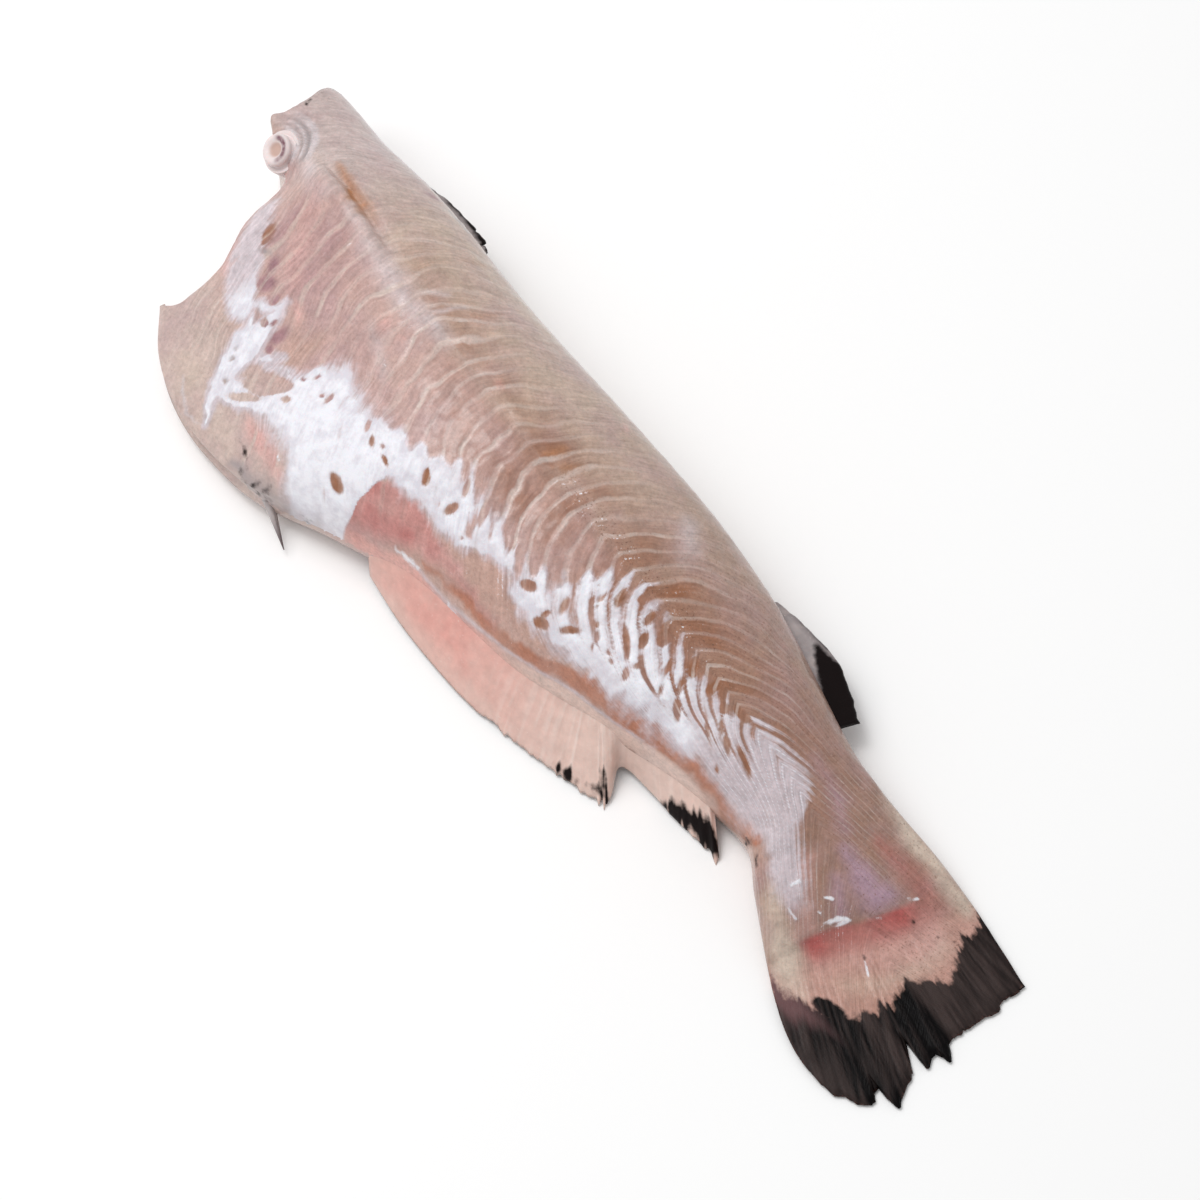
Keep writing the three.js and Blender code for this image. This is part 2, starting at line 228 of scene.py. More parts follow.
SILVER_TORN = [(-112, 0.3), (-78, 0.3), (-60, 0.6), (-45, 0.4), (-35, 0.7), (-10, 1), (58, 0.9), (70, 0.2)]
FILM_WIDER = [(-110, 0.7), (-80, 0.9), (-62, 1), (-44, 0.5), (-20, 1.1), (60, 1.3)]
FILM_SOFTER = 2
FILM_CLOUD = 0.4
SILVER_INSET = 0.3
FINGER_RANGE = (0.4, 1.3)
BRIGHT_GAIN = 2.4
BRIGHT_DROP = 1.2
BRIGHT_CLOUD = 0.8
STRAND_BRIGHT = 1.2
STRAND_SPAN = (60, 72)
STRAND_DROP = 0.7
# The membrane grows whiter towards its middle: partly a thicker sheet, partly a painted highlight
THICK_GLARE_REACH = 6
THICK_GLARE_CLEARER = 0.16

# Unevenness of the membrane's torn edge, as (grain, lift, seed)
SILVER_RAGGED = [(5, 1.2, 31), (1.8, 0.7, 35)]

# Cells of bare muscle between the membrane's strands: the share that is open along the fish, and their size
SILVER_CELLS = [(-30, 0), (-22, 0.3), (-8, 0.45), (10, 0.5), (20, 0.7), (52, 0.75), (66, 0.6), (72, 0)]
CELL_WIDTH = 0.45
CELL_LENGTH = 5
CELL_DEPTH = 2
CELL_SOFT = 0.55
CELL_VEIL = 0.4
CELL_UNEVEN = 0.5
CELL_ABOVE = (4.5, 0.25)
ISLAND_SOFT = 0.3
ISLAND_WARP = 0.4

# Bands of membrane at the neck and the front of the belly, each as (x, y, half width) points
SILVER_BANDS = [
    [(-129, 3, 1), (-126, -3, 3.2), (-121.5, -9.5, 4.6), (-115.5, -15, 4.6), (-109.5, -19.5, 3.4),
     (-107, -21, 1.6)],
    [(-98.6, -12.6, 0.5), (-98.2, -16, 1.6), (-99, -20, 3), (-99.4, -25, 4.4), (-98.6, -31, 3.6),
     (-97.2, -36, 2.4), (-95, -40, 1.2), (-92, -44.6, 0.5)],
    [(-106.5, -17.6, 0.8), (-104, -16.4, 1), (-101, -15.2, 1), (-99, -14, 1)],
    [(-105.4, -20, 0.6), (-102.6, -22, 1.4)],
    [(-94.6, -25.6, 0.9), (-91, -22.5, 0.5), (-88, -20.6, 0.35)],
    [(-93, -24.2, 0.6), (-88.6, -23.4, 0.4), (-83, -20.8, 0.3)],
    [(-87, -23.4, 0.3), (-83, -22.6, 0.4), (-79.6, -20.6, 0.6)],
]

# Bare muscle that shows through the membrane: (x, y, half length, half width, turn in degrees)
TAN_ISLANDS = [
    (-86, -27.4, 8, 2.5, 31), (-88.4, -33.1, 5.2, 1.15, 35), (-77.8, -26.4, 1.9, 0.85, 25),
    (-47.6, -16.6, 0.9, 0.6, 0), (-54.8, -16.4, 1.7, 0.8, -45), (-17, -6.8, 3.4, 1.2, -60),
    (-24.6, -7, 2.6, 1, -55), (-7, -5.4, 3.4, 1.2, -50), (24.8, -2.8, 1.7, 0.7, -50),
    (26, -5.2, 1.2, 0.5, -50), (24, 12, 1.5, 1, 90), (32.6, 6, 2.6, 1.2, -62), (36.2, -1.6, 1.7, 1, -60),
    (36.8, 2, 1.5, 0.7, 70), (50.4, 3.4, 3, 1.05, -35), (44.6, 2.6, 1.6, 0.6, -55),
    (64.5, 8.4, 2.6, 0.8, -25), (57, 13, 1.8, 1.5, -40), (41.4, 7.2, 3, 0.8, -58), (60.4, 9.6, 3, 0.6, -35),
    (46.6, 7.4, 2.6, 0.8, -50), (29.6, -2.6, 0.8, 0.6, 0), (31.6, -3.2, 0.7, 0.5, 0),
    (18.6, 3.4, 2.2, 0.7, -70),
]
RUSSET_ISLANDS = [
    (-50.4, -29.2, 2.8, 1.3, -5), (-50.6, -18, 1.7, 0.8, -40), (-44.4, -18.2, 1.8, 0.7, -10),
    (-33.8, -13.2, 2.1, 1.2, -35), (-23.4, -12.6, 2.2, 1.2, 65), (4.6, -8.6, 2.4, 1.4, 25),
    (13.6, -11.2, 2.6, 1.2, 18), (13, -9.2, 1.6, 0.9, 80), (14.2, -4.8, 2.4, 1, -55),
    (19.4, -6.8, 3, 1, 48), (22.5, -1, 0.9, 0.6, -40), (21.2, 8, 3, 1.3, -62), (30.6, 2.4, 4.6, 1.1, -32),
    (29, 10.6, 2.6, 1.1, -75), (34.4, 11.6, 3.8, 1.8, -60), (45, 13.2, 3.3, 1.6, -62),
    (51.4, 13.4, 3, 1.2, -65), (60.6, 15.9, 3.4, 1.5, 4), (70, 9.5, 4.4, 0.9, -12),
    (58, 6.9, 4.6, 0.6, -24), (67.6, 3.3, 0.9, 0.5, -30), (-120, -3.4, 3.4, 1.9, -55),
]
MAUVE_ISLANDS = [
    (-108.3, -12.4, 2.6, 2.1, 30), (-102.6, -13.4, 1.8, 1.6, 0), (-100, -18.4, 1.6, 1.1, 20),
    (-97.6, -16.8, 1.3, 0.7, 80), (-93.4, -17.6, 2.4, 2, 70), (-93.2, -21.8, 1.6, 1.2, 10),
    (-68.6, -19, 1.6, 0.9, 80), (-76, -17.6, 1.2, 0.7, 60), (-71, -19.6, 0.9, 0.6, 30),
    (-110.6, -8.4, 2.6, 1.2, -35), (-78.6, -20.4, 1, 0.6, 30), (-16, -14.6, 0.8, 0.5, 40),
]
GREY_FLECKS = [
    (-100.4, -27.3, 0.5, 0.4, 0), (-99.6, -30, 0.8, 0.4, 60), (-96.3, -34.4, 0.9, 0.6, 10),
    (-104, -18.6, 1.6, 0.4, -60), (-116, -7.2, 2, 0.6, 5),
]

# Stains of the flesh, and the sheen painted on it: for each tint its bands, as (fade, strength, points of x,
# y and half width)
BANDS = {
    "red": [
        (1.8, 0.75, [(-44.4, -30.4, 1.4), (-41, -28.8, 2.6), (-37, -26.8, 2.6), (-32, -24.4, 2),
                     (-26, -22.6, 1.2)]),
        (1.2, 0.45, [(-43, -28, 2), (-40, -25.4, 4.2), (-35.5, -23.4, 4.4), (-30, -21.6, 3.4),
                     (-24, -20.6, 2), (-14, -20, 1)]),
        (1.6, 0.4, [(-24, -21.6, 1.2), (-8, -20.4, 0.6), (4, -18.8, 0.4)]),
        (3, 0.45, [(104, 27, 0.8), (112, 28, 2), (119, 29, 3), (123, 28, 2)]),
        (1.2, 0.5, [(101, -0.6, 0.6), (104, 0, 1.2)]),
    ],
    "rose": [
        (1.2, 0.9, [(-43, -28, 2.4), (-40, -25, 4.8), (-35.5, -23, 4.8), (-30, -21.4, 3.8), (-22, -20.4, 2),
                    (-12, -19, 1)]),
        (2.2, 0.9, [(-82, -36, 1), (-75, -36.6, 2.6), (-69, -37.4, 2.4), (-65, -39.4, 1.2)]),
        (1.2, 0.8, [(-127.4, -10.4, 0.8), (-123.4, -15.4, 1.6)]),
        (4, 0.6, [(117, -3, 2), (121, 6, 4), (125, 14, 5), (127, 22, 5), (125, 29, 2)]),
        (2.5, 0.6, [(98, 8, 2), (104, 3, 3), (109, -1, 3)]),
        (3, 0.5, [(-119, 12, 1), (-113, 6, 3), (-108, -3, 3), (-101, -8, 2)]),
    ],
    "orange": [
        (1.6, 0.6, [(-122, 20, 0.6), (-116, 19.4, 1.4), (-111, 18.4, 1.5), (-106, 18, 1.3),
                    (-100, 17, 0.4)]),
        (1, 1, [(-113.4, 18, 1), (-110.4, 16.8, 1.2)]),
        (1, 1, [(-107.4, 18, 1), (-104.6, 16.8, 1.1)]),
        (1.4, 0.45, [(-79, 30.6, 0.4), (-76.4, 34.6, 0.7)]),
        (1.8, 0.4, [(-62.6, 22, 0.3), (-60.6, 27, 0.6)]),
        (1.6, 0.65, [(-20.4, 14.6, 0.4), (-18.6, 18.6, 1)]),
        (1.6, 0.7, [(-14.6, 14.6, 0.4), (-12.6, 19.4, 1)]),
    ],
    "lilac": [
        (3, 0.9, [(101, 17.6, 1.2), (107, 17.4, 3.2), (113, 16.4, 3), (114.6, 21, 2)]),
        (3, 0.7, [(106, 12.6, 1.4), (109.6, 10.4, 2.2), (112.6, 9, 2)]),
        (3, 0.45, [(80, 25, 1), (90, 24, 2), (97, 21, 1)]),
    ],
    # Pale grey lilac film whose whiteness is partly painted sheen, on the nape, along the lateral line and in
    # thin lines
    "sheen": [
        (0.4, 0.8, [(-107, -41.2, 0.2), (-103.4, -44, 0.4), (-98, -45.8, 0.4), (-94, -46, 0.2)]),
        (4, 0.55, [(-133, 17, 2), (-126, 15, 3), (-117, 13, 3)]),
        (4, 0.65, [(-106, 14.4, 2), (-90, 11.8, 3), (-76, 10.4, 2.4), (-60, 11, 1)]),
        (1, 0.6, [(-75, 14, 0.5), (-71, 20, 0.7)]),
        (1, 0.55, [(-69, 13, 0.4), (-65, 21, 0.7)]),
        (3, 0.45, [(14, 34, 2), (19, 30, 2.4), (21, 27, 1)]),
        (2, 0.5, [(-76, 0, 0.6), (-71, -3, 1), (-63, -6, 1.4)]),
    ],
    "tan": [
        (1.2, 0.9, [(-30, -19.6, 0.4), (-14, -18.2, 1.6), (0, -16, 2.8), (12, -14.6, 2.2), (24, -11.6, 1.6),
                    (34, -8.2, 0.8)]),
        (2, 0.6, [(-92, -12, 1), (-86, -19, 3), (-84, -13, 2)]),
    ],
    "seam": [
        (0.5, 0.85, [(-22, -23.4, 0.2), (-10, -22, 0.6), (0, -20.6, 0.8), (10, -18.7, 0.8), (20, -15.6, 1),
                     (30, -11, 1.5), (40, -7.5, 1.7), (50, -4, 1.7), (60, -1.1, 1.4), (70, 0.5, 1.1),
                     (80, 1.8, 0.8), (84.6, 2.4, 1.7), (87, 1.8, 1.4)]),
    ],
    "cream": [
        (3, 0.9, [(96, 35, 1), (110, 35.2, 2.4), (122, 35.6, 2.4), (129, 36.4, 1)]),
        (3, 0.9, [(98, -2.5, 1), (108, -7, 3.6), (118, -10.6, 3.2), (122, -11, 1)]),
        (4, 0.5, [(126, 0, 2), (131, 6, 2), (133, 14, 2), (132, 24, 2)]),
        (4, 0.45, [(-112, -38, 2), (-103, -40, 4), (-94, -42, 3), (-80, -43, 1.5)]),
    ],
    "skin": [
        (1.4, 0.8, [(-78, -45, 0.6), (-68, -43.6, 1.6), (-61, -42.4, 1.6), (-56, -40.4, 0.8),
                    (-50, -36.8, 0.3)]),
        (0.6, 0.9, [(-90, 38.6, 0.3), (-98, 38.8, 0.3)]),
    ],
}
SPOTS = {
    "russet": (0.7, 0.9, RUSSET_ISLANDS),
    "mauve": (0.8, 0.85, MAUVE_ISLANDS + [(-103, 37, 1.6, 0.9, 20), (-121, 40.4, 1.6, 0.6, 0)]),
    "skin": (0.5, 1, GREY_FLECKS),
    "rose": (1, 0.8, [(-74, 2.6, 1.5, 1.9, 0), (-67, 3.2, 0.9, 0.7, 0), (-41.5, 15, 1.3, 1, 0),
                      (-94, -11.6, 2.2, 1.1, -30), (5.6, 8.8, 1.4, 0.8, -50), (-17.4, 37, 1.2, 0.7, -20)]),
}

# Crease where the anal fin leaves the flesh, as (x, y), and the flesh beyond it, which turns paler
STRIP = [(-45, -32.5), (-33, -28), (-25, -24.9), (-10, -23.2), (0, -21.7), (10, -19.8), (20, -16.7),
         (30, -12.8), (40, -9.4), (50, -5.9), (60, -2.7), (70, -0.9), (80, 0.5), (86, 0.2)]
STRIP_SPAN = (-47, -40, 84, 89)
STRIP_EDGE = (-0.2, 0.5)
STRIP_PALER = (-6, 26)
STRIP_UNEVEN = 2
THREAD_HALF = 0.12
THREAD_SOFT = 0.3
THREAD_SPAN = (-30, -22, 44, 56)

# Muscle along the root of that fin, below the membrane: its edge and span, and its fibres
ROOT_EDGE = (-0.5, 1.2)
ROOT_SPAN = (-40, -25, 86, 96)
ROOT_FIBRE = (9, 0.8)
ROOT_TONE = (0.75, 0.25)

# Streaks painted white in the membrane's colour, each as (x, y, half width) points: most are painted
# highlights of the wet film, a few are threads of pale tissue
PALE_THREADS_AND_GLINTS = [
    [(111.6, 3.2, 0.1), (112, 5, 0.4), (112.6, 7, 0.6), (113.8, 9.2, 0.3)],
    [(113.2, 5, 0.1), (114, 7.4, 0.3), (114.6, 9.6, 0.2)], [(107, 6.8, 0.2), (108.4, 8.4, 0.4)],
    [(124, 7, 0.1), (125.6, 6.4, 0.3), (127.6, 5.4, 0.15)], [(118.4, 24.6, 0.2), (119.8, 26.8, 0.3)],
    [(100.4, 1.4, 0.3), (100.8, 3.6, 0.5)], [(104, -2.2, 0.1), (107, -2, 0.25)],
    [(117.5, 15.2, 0.1), (118.2, 16.4, 0.2)], [(108.6, 3.6, 0.1), (109.4, 4, 0.3)],
    [(-68.6, -36, 0.1), (-67, -36.8, 0.3)], [(-99, 7, 0.1), (-98.4, 9, 0.15)],
    [(-65.6, -3.6, 0.2), (-64.4, -4, 0.3)], [(-30, -26.2, 0.1), (-25, -25, 0.25), (-21.6, -24.3, 0.1)],
    [(-11, -23.5, 0.1), (-7, -23.3, 0.2), (-4.6, -23, 0.1)], [(18.4, 1, 0.2), (19.4, 3.6, 0.3)],
    [(46, 1.8, 0.2), (47.4, 3.2, 0.35)], [(42, 4.4, 0.2), (43.4, 2.4, 0.3)],
]
STREAK_SOFT = 0.25

# Fine glints, painted as pale specks of the membrane's colour and partly specks of pale tissue, and brown
# flecks: where they are strewn, and how thickly
SPECKLED_LINE = 1.5
SPECKLED_WIDTH = 3
SPECKLED_SPAN = (-18, -5, 40, 60)
GLINT_STRANDS = (-40, 0, 58, 70)
GLINT_ROOT = (-30, -15)
WET_BAND = [(98, 3, 4), (108, 0, 5), (113, 6, 4)]
WET_FADE = 4
GLINTS = {"everywhere": 0.05, "strands": 0.6, "fin root": 0.5, "fin": 0.5, "stalk": 0.7}
FLECK_BACK = (0, 50)
FLECKS = {"everywhere": 0.2, "lateral line": 0.9, "back": 0.4}

# Rings of tissue round the neck bone, as (radius, half width, tint, strength), within some degrees of turn;
# pale rings lie on the crests of the ripple below as painted sheen, grey and mauve ones in its troughs as
# painted shade
RING_CENTRE = (-142.8, 11.6)
RING_TURN = (0, 30, 93, 123)
RING_SHEEN_AND_SHADE = [(6, 0.5, "mauve", 0.9), (7.4, 0.9, "sheen", 0.9), (8.9, 0.4, "skin", 0.7),
         (9.8, 0.5, "sheen", 0.9), (10.9, 0.5, "skin", 0.9), (12.4, 1.2, "sheen", 0.7)]
RING_FADE = 0.4
RING_LIFT = 0.4
RING_STEP = 2.3
RING_CREST = 7.4
RING_SPAN = (5, 7, 11, 13)

# Black tail: its inner edge as (y, x), how soft that edge is, and places where the black is thin
TAIL_MARGIN = [(-21, 115), (-17, 116.4), (-14.6, 117.8), (-12, 121.6), (-10.4, 126.4), (-8, 129.6),
               (-6.4, 131), (-5, 132.6), (-3, 133.8), (0, 134.6), (2, 135.8), (6, 136), (9, 135.2),
               (12, 134), (14, 135.6), (16, 136.4), (18, 138.6), (20, 140), (22, 139.6), (24, 138),
               (26, 137), (28, 135.5), (30, 133.4), (31.4, 131.6), (32.6, 134), (34, 133.4), (36, 133.8),
               (37.6, 130)]
MARGIN_SOFT = [(-21, 3), (-13, 2.6), (-9, 1.6), (-4, 1.3), (2, 1.3), (12, 1), (20, 1.3), (30, 1.1), (38, 1)]
TAIL_STREAK = (1.2, 1)
TAIL_THIN = [(-20, 0.8), (-16, 0.55), (-12, 0.25), (-6, 0.2), (-3, 0.6), (-0.5, 0.8), (1.5, 0.4), (4, 0),
             (11, 0), (13, 0.75), (17, 0.8), (24, 0.75), (33, 0.5), (38, 0.15)]
THIN_STREAK = (0.35, 0.35)
TAIL_HAZE = [(-21, 0), (-18, 0.15), (-16.4, 0.9), (-15, 1), (-13, 0.9), (-11, 0.4), (-9, 0)]
HAZE_FADE = (5, 13)
SOOT_BANDS = [[(125.6, -8.8, 1.5), (127.6, -8, 2.2), (130.8, -6.8, 2)],
              [(113.6, -14, 0.3), (119, -16, 0.7), (125, -18.8, 0.5)],
              [(-149.8, 29.6, 0.3), (-148.4, 27.4, 0.3)]]
SOOT_SPOTS = [(-76, -41.4, 1.6, 0.3, -25), (133, 28, 0.35, 0.3, 0), (123.8, 8.2, 0.4, 0.35, 0),
              (129.8, 24.6, 0.3, 0.3, 0), (122.6, 22.2, 0.35, 0.3, 0), (-54, -38.6, 1, 0.3, 25),
              (84.2, 0.6, 0.9, 0.35, 0), (91, -1.6, 0.6, 0.25, -30), (-71, -44.8, 0.4, 0.25, 0),
              (-66, -44.4, 0.5, 0.25, 30), (-63, -43, 0.4, 0.2, 0), (-68.6, -43.6, 0.7, 0.3, 40),
              (-65.4, -42.4, 0.6, 0.3, 20), (-61.6, -42.8, 0.6, 0.25, 30), (-73.4, -44.8, 0.5, 0.25, 20)]
SOOT_SOFT = 0.5

# Red bar across the root of the tail: its sharp front edge as (y, x), its strength, and how it fades
BAR_EDGE = [(-4, 111.6), (0, 112.4), (4, 113.4), (8, 114.8), (12, 116.4), (16, 117.6), (20, 118.6),
            (26, 119.8), (31, 119.6)]
BAR_RED = [(-5, 0), (-2, 0.85), (2, 0.85), (7, 0.7), (12, 0.9), (20, 0.9), (25, 0.6), (30, 0.4), (33, 0)]
BAR_FRONT = (-0.8, 0.6)
BAR_FADE = (2.5, 9)

# Relief of the flesh: how deep or high, how wide, and where it ends
WALL_DEPTH = 0.26
LATERAL_DEPTH = 0.3
LATERAL_WIDTH = 2.2
LATERAL_ENDS = (104, 92)
FOLD_DEPTH = 2
FOLD_WIDTH = 1.5
FOLD_OFFSET = 1.2
FOLD_CREST = 1
FOLD_SPAN = (-130, -119, -100, -84)
MEMBRANE_LIFT = 0.25
LUMP_LIFT = 0.5
LUMP_SIZE = 13
PIT_LIFT = 0.12
PIT_SIZE = 2.4
STREAK_LIFT = 0.3
RELIEF_FADE = (0.93, 1)

# Unevenness: its lattice and how many sizes of lump it has, and how it warps stains and makes them patchy
LATTICE = 512
LUMP_KINDS = 3
WARP = 0.8
WARP_GRAIN = 5
PATCHY = 0.35
PATCH_GRAIN = 7
OUTSIDE = -9

# Seeds of the unevenness, one for each use
SEED = {
    "tail rim": 11, "muscle blocks": 21, "membrane clouds": 33, "cells": 37, "red muscle": 41, "fingers": 43,
    "wall strength": 44, "wall breaks": 47, "front blocks": 49, "rays": 51, "fine rays": 52, "lumps": 61,
    "pits": 62, "fin fray": 71, "fin rays": 72, "spine": 73, "warp along": 81, "warp across": 84,
    "patches": 87, "root fibres": 91, "paler fin": 93,
}

# Fins, each a thin sheet from a root sunk in the flesh to a free rim, as (x, y, z) points
# Fray, far and show are (share along the fin, amount), and a spike is (share along it, reach, half width)
# Dark bands lie in the plan, and torn is how far their edges follow the rays
ANAL_FIN = {
    "root": [(-42, -27.5, 13.5), (-28, -22.5, 15.5), (-12, -19, 16.5), (4, -17, 16.5), (18, -14, 16),
             (29, -10.5, 15), (36, -8, 14.5), (42, -5.5, 14), (48, -3, 13), (56, 0, 12), (66, 3, 10)],
    "rim": [(-35.5, -31.5, 1.8), (-20, -32.8, 1.3), (-4, -32.6, 1.1), (10, -31.4, 1.1), (24, -28.4, 1),
            (38, -24.6, 1), (51.6, -19.4, 1), (46.6, -11, 2.6), (56.5, -8.6, 1.6), (66, -7.8, 1.2),
            (80.6, -5.2, 1)],
    "thick": (6, 0.6), "rays": 66, "steps": (560, 30),
    "fray": [(0, 0), (0.3, 0.1), (0.36, 0.5), (0.5, 0.4), (0.6, 0.7), (0.63, 0.1), (0.9, 0.2), (1, 0.5)],
    "far": [(0, 0.55), (0.07, 0.3), (0.2, 0), (0.3, 0.25), (0.42, 0.7), (0.6, 1), (1, 1)],
    "show": [(0, 0), (0.3, 0.1), (0.42, 0.5), (0.6, 0.7), (0.68, 0.2), (1, 0.6)],
    "spikes": [(0.597, 2.4, 0.004), (0.583, 1.4, 0.004), (0.38, 1, 0.006), (0.35, -1.2, 0.02),
               (0.5, 0.8, 0.006), (0.99, 3, 0.008), (0.965, 0.9, 0.01), (0.94, 0.6, 0.008)],
    "dark": [[(36.8, -23.8, 0.2), (40, -23, 0.6), (43, -22.2, 0.3)],
             [(45.6, -20.6, 0.2), (48, -19.4, 1), (50.4, -19, 0.8)],
             [(46.5, -16.5, 0.1), (49, -18, 0.5), (54, -20, 0.6)],
             [(61.6, -8, 0.4), (66, -6.6, 1.6), (70, -5.2, 2.1), (75, -4.6, 1.9), (82, -4.4, 1)]],
    "torn": 1.1,
}
ADIPOSE = {
    "root": [(34, 41, 14), (54, 37.5, 12), (72, 34.5, 10)],
    "rim": [(37, 45.4, 14), (46, 47.4, 13), (58, 48.4, 11.5), (66, 46.6, 10), (74.6, 43.2, 9)],
    "thick": (6, 2), "rays": 12, "steps": (170, 30),
    "fray": [(0, 0.1), (1, 0.3)],
    "far": [(0, 0.2), (1, 0.4)],
    "show": [(0, 0.3), (1, 0.3)],
    "spikes": [],
    "dark": [[(53, 46, 1), (60, 45, 3.4), (68, 42, 4.4), (76, 39, 5)], [(44, 47.2, 0.1), (54, 48.4, 0.6)]],
    "torn": 0.3,
}
BACK_STRIP = {
    "root": [(-119, 38, 21), (-103, 39, 21.5), (-85, 38, 22)],
    "rim": [(-115, 42, 21), (-104, 44.3, 21.5), (-92, 44.4, 22), (-87, 43.2, 22)],
    "thick": (4, 1.6), "rays": 9, "steps": (140, 22),
    "fray": [(0, 0.2), (1, 0.6)],
    "far": [(0, 0.6), (1, 0.2)],
    "show": [(0, 0.2), (1, 0.2)],
    "spikes": [(0.82, -1.2, 0.03), (0.6, -0.6, 0.03)],
    "dark": [[(-117, 42.6, 0.2), (-108, 44, 0.7), (-98, 44.4, 1), (-85, 43.8, 1)]],
    "torn": 0.6,
}
FIN_PALER = 0.6
FIN_PALE_RIM = (0.55, 0.95)
FIN_ARCH = 0.08
FIN_END = 0.012
FIN_ROOT = 0.12
FIN_EDGE = 10
FIN_FLOOR = 0.1
FIN_NUDGE = 1e-3
FIN_WAVES = 2
FIN_FIELDS = ("far", "ray", "dark")

# Pelvic spine left on the belly edge
SPINE_ROOT = (-69, -41, 8)
SPINE_TIP = (-54.6, -45.4, 2.4)
SPINE_RADIUS = 2.8
SPINE_END = 0.2
SPINE_FLAT = 0.6
SPINE_SIDES = 28
SPINE_DARK = (0.35, 0.9)
SPINE_CUTS = 8
SPINE_STREAK = -0.9

# Neck bone, bared at the cut: (radius, height) along its own axis, and the way from it into the flesh
BONE_CENTRE = (-140.6, 13.1, 31.5)
BONE_AXIS = (-0.15, -0.59, 0.79)
BONE_PROFILE = [(0, -12), (6, -12), (6, -2.4), (5.4, -1.4), (4.6, -1.6), (4.3, -0.6), (4.5, 0.5),
                (4.1, 1.4), (3.2, 1.7), (2.2, 1.2), (1.2, 0.6), (0, 0.5)]
BONE_DENT = 5
BONE_DENT_REACH = 9
BONE_STEPS = 60
BONE_SIDES = 64
BONE_INWARD = (0.59, 0.81, 0)
# The dark crescent below is painted shade on the inner wall of the bone's hollow end, on the side towards the
# flesh
BONE_RING = (2.1, 2.9, 3.5, 4.3)
BONE_FACING = (-0.2, 0.5)
BONE_CORE = (2.6, 1.4)
BONE_FIELDS = ("core", "marrow")

# View of the fish from above its belly side and tail
CAMERA_TARGET = (9.2, 9.8, 12)
CAMERA_TURN = 54
CAMERA_RISE = 64
CAMERA_DISTANCE = 950
CAMERA_LENS = 111.59

# Lamps by name, with their size and the way from the target to them, and the floor; in metres but for the gap
LAMPS = {"key": (1.2, (-0.5, -0.35, 1.3)), "glint": (0.35, (-0.42, -0.2, 1.2))}
FLOOR_SIZE = 4
FLOOR_GAP = 0.2
FLOOR_ROUGH = 0.9

# Sizes of the patterns in the flesh; real muscle fibre is finer, and drawn coarser here so that it shows
PATTERNS = {"speck": 0.6, "grain": 1, "tear": 1.8, "patch": 3.4, "cloud": 11}
FIBRES_PER_BLOCK = 6
FIBRE_LENGTH = 9
FIBRE_FADE = (0.72, 0.95)
FIBRE_LEFT = 0.25

# Noise and edges in the materials: where they start and are full, and what they become if not 0 and 1
PATTERN_NOISE = {"Detail": 3, "Roughness": 0.6}
FIBRE_NOISE = {"Detail": 2, "Roughness": 0.5}
NOISE_MIDDLE = 0.5
SPREAD = ("From Min", "From Max", "To Min", "To Max")
TONE_NOISE = (0.3, 0.7)
TEAR_NOISE = (0.25, 0.75, -0.8, 0.8)
FIN_TEAR_NOISE = (0.25, 0.75, -0.35, 0.35)
BLUSH_NOISE = (0.4, 0.7, 0, 0.45)
FLECK_NOISE = (0.42, 0.32)
GLINT_NOISE = (1.2, 1.32)
DULL_NOISE = (0.54, 0.84)
HOLLOW_SHADE_NOISE = (0.3, 0.6, 0.5)
WALL_FAINT = (0.4, 0.62, 1, 0.3)
TORN_EDGE = (-1, 1)
FIN_TORN_EDGE = (-0.9, 0.7)
# The fins' pale specks below are painted glints in the ray colour
FIN_GLINT_SPECKS = (0.64, 0.76, 0, 0.6)
FIN_CLOUDS = (0.45, 0.7, 0, 0.35)

# Shares of one pattern or layer in another, and how far each pattern lightens and darkens
DULL_FIBRE = 0.5
FRAYED = 0.6
FILM_COVER = 0.85
FIN_RAYS = 0.7
FLESH_TONES = (("patch", 0.1), ("grain", 0.1), ("fibre", 0.12))
FIN_TONES = (("patch", 0.08),)

# Finish of raw flesh, fin skin and bone under a coat of water, with light that soaks in
FLESH_IOR = 1.38
FLESH_SPECULAR = 0.12
FLESH_ROUGH = (*TONE_NOISE, 0.32, 0.5)
FIN_ROUGH = 0.45
BONE_ROUGH = 0.5
WATER_IOR = 1.33
WATER_ROUGH = 0.15
FIN_WET = 0.4
BONE_WET = 0.3
BLACK_WET = 0.03
BUMP_STRENGTH = 0.45
BUMP_DEPTH = 0.3
SOAK = 0.12
SOAK_DEPTH = 1.5
SOAK_COLOURS = (1, 0.55, 0.45)

# Tints of the flesh in the order in which they lie over each other, its torn edges and its other fields
REGIONS = ["flank", "nape", "dusk", "flap"]
STAINS = ["web", "cream", "tan", "rose", "russet", "seam", "orange", "sheen", "lilac", "mauve", "wall",
          "salmon", "shell", "red"]
TINTS = REGIONS + STAINS + ["skin"]
EDGES = ["film", "silver", "streak", "soot"]
AMOUNTS = ["block", "grained", "thick", "thin", "haze", "glint", "fleck"]


def linear(code):
    """Linear red, green and blue of an sRGB hex colour."""
    shares = [int(code[i:i + 2], 16) / 255 for i in (1, 3, 5)]
    return tuple(c / 12.92 if c <= 0.04045 else ((c + 0.055) / 1.055) ** 2.4 for c in shares)


def paint(name, code, description):
    """A colour that the user can change."""
    return FloatVectorProperty(name=name, description=description, default=linear(code), subtype="COLOR",
                               size=3, min=0, max=1)


def share(name, default, description):
    """A share between 0 and 1 that the user can change."""
    return FloatProperty(name=name, description=description, default=default, min=0, max=1, subtype="FACTOR")


def measure(name, default, description):
    """A length in metres that the user can change."""
    return FloatProperty(name=name, description=description, default=default, min=0, subtype="DISTANCE",
                         unit="LENGTH")


def power(name, default, description):
    """The power of a lamp that the user can change."""
    return FloatProperty(name=name, description=description, default=default, min=0, subtype="POWER",
                         unit="POWER")


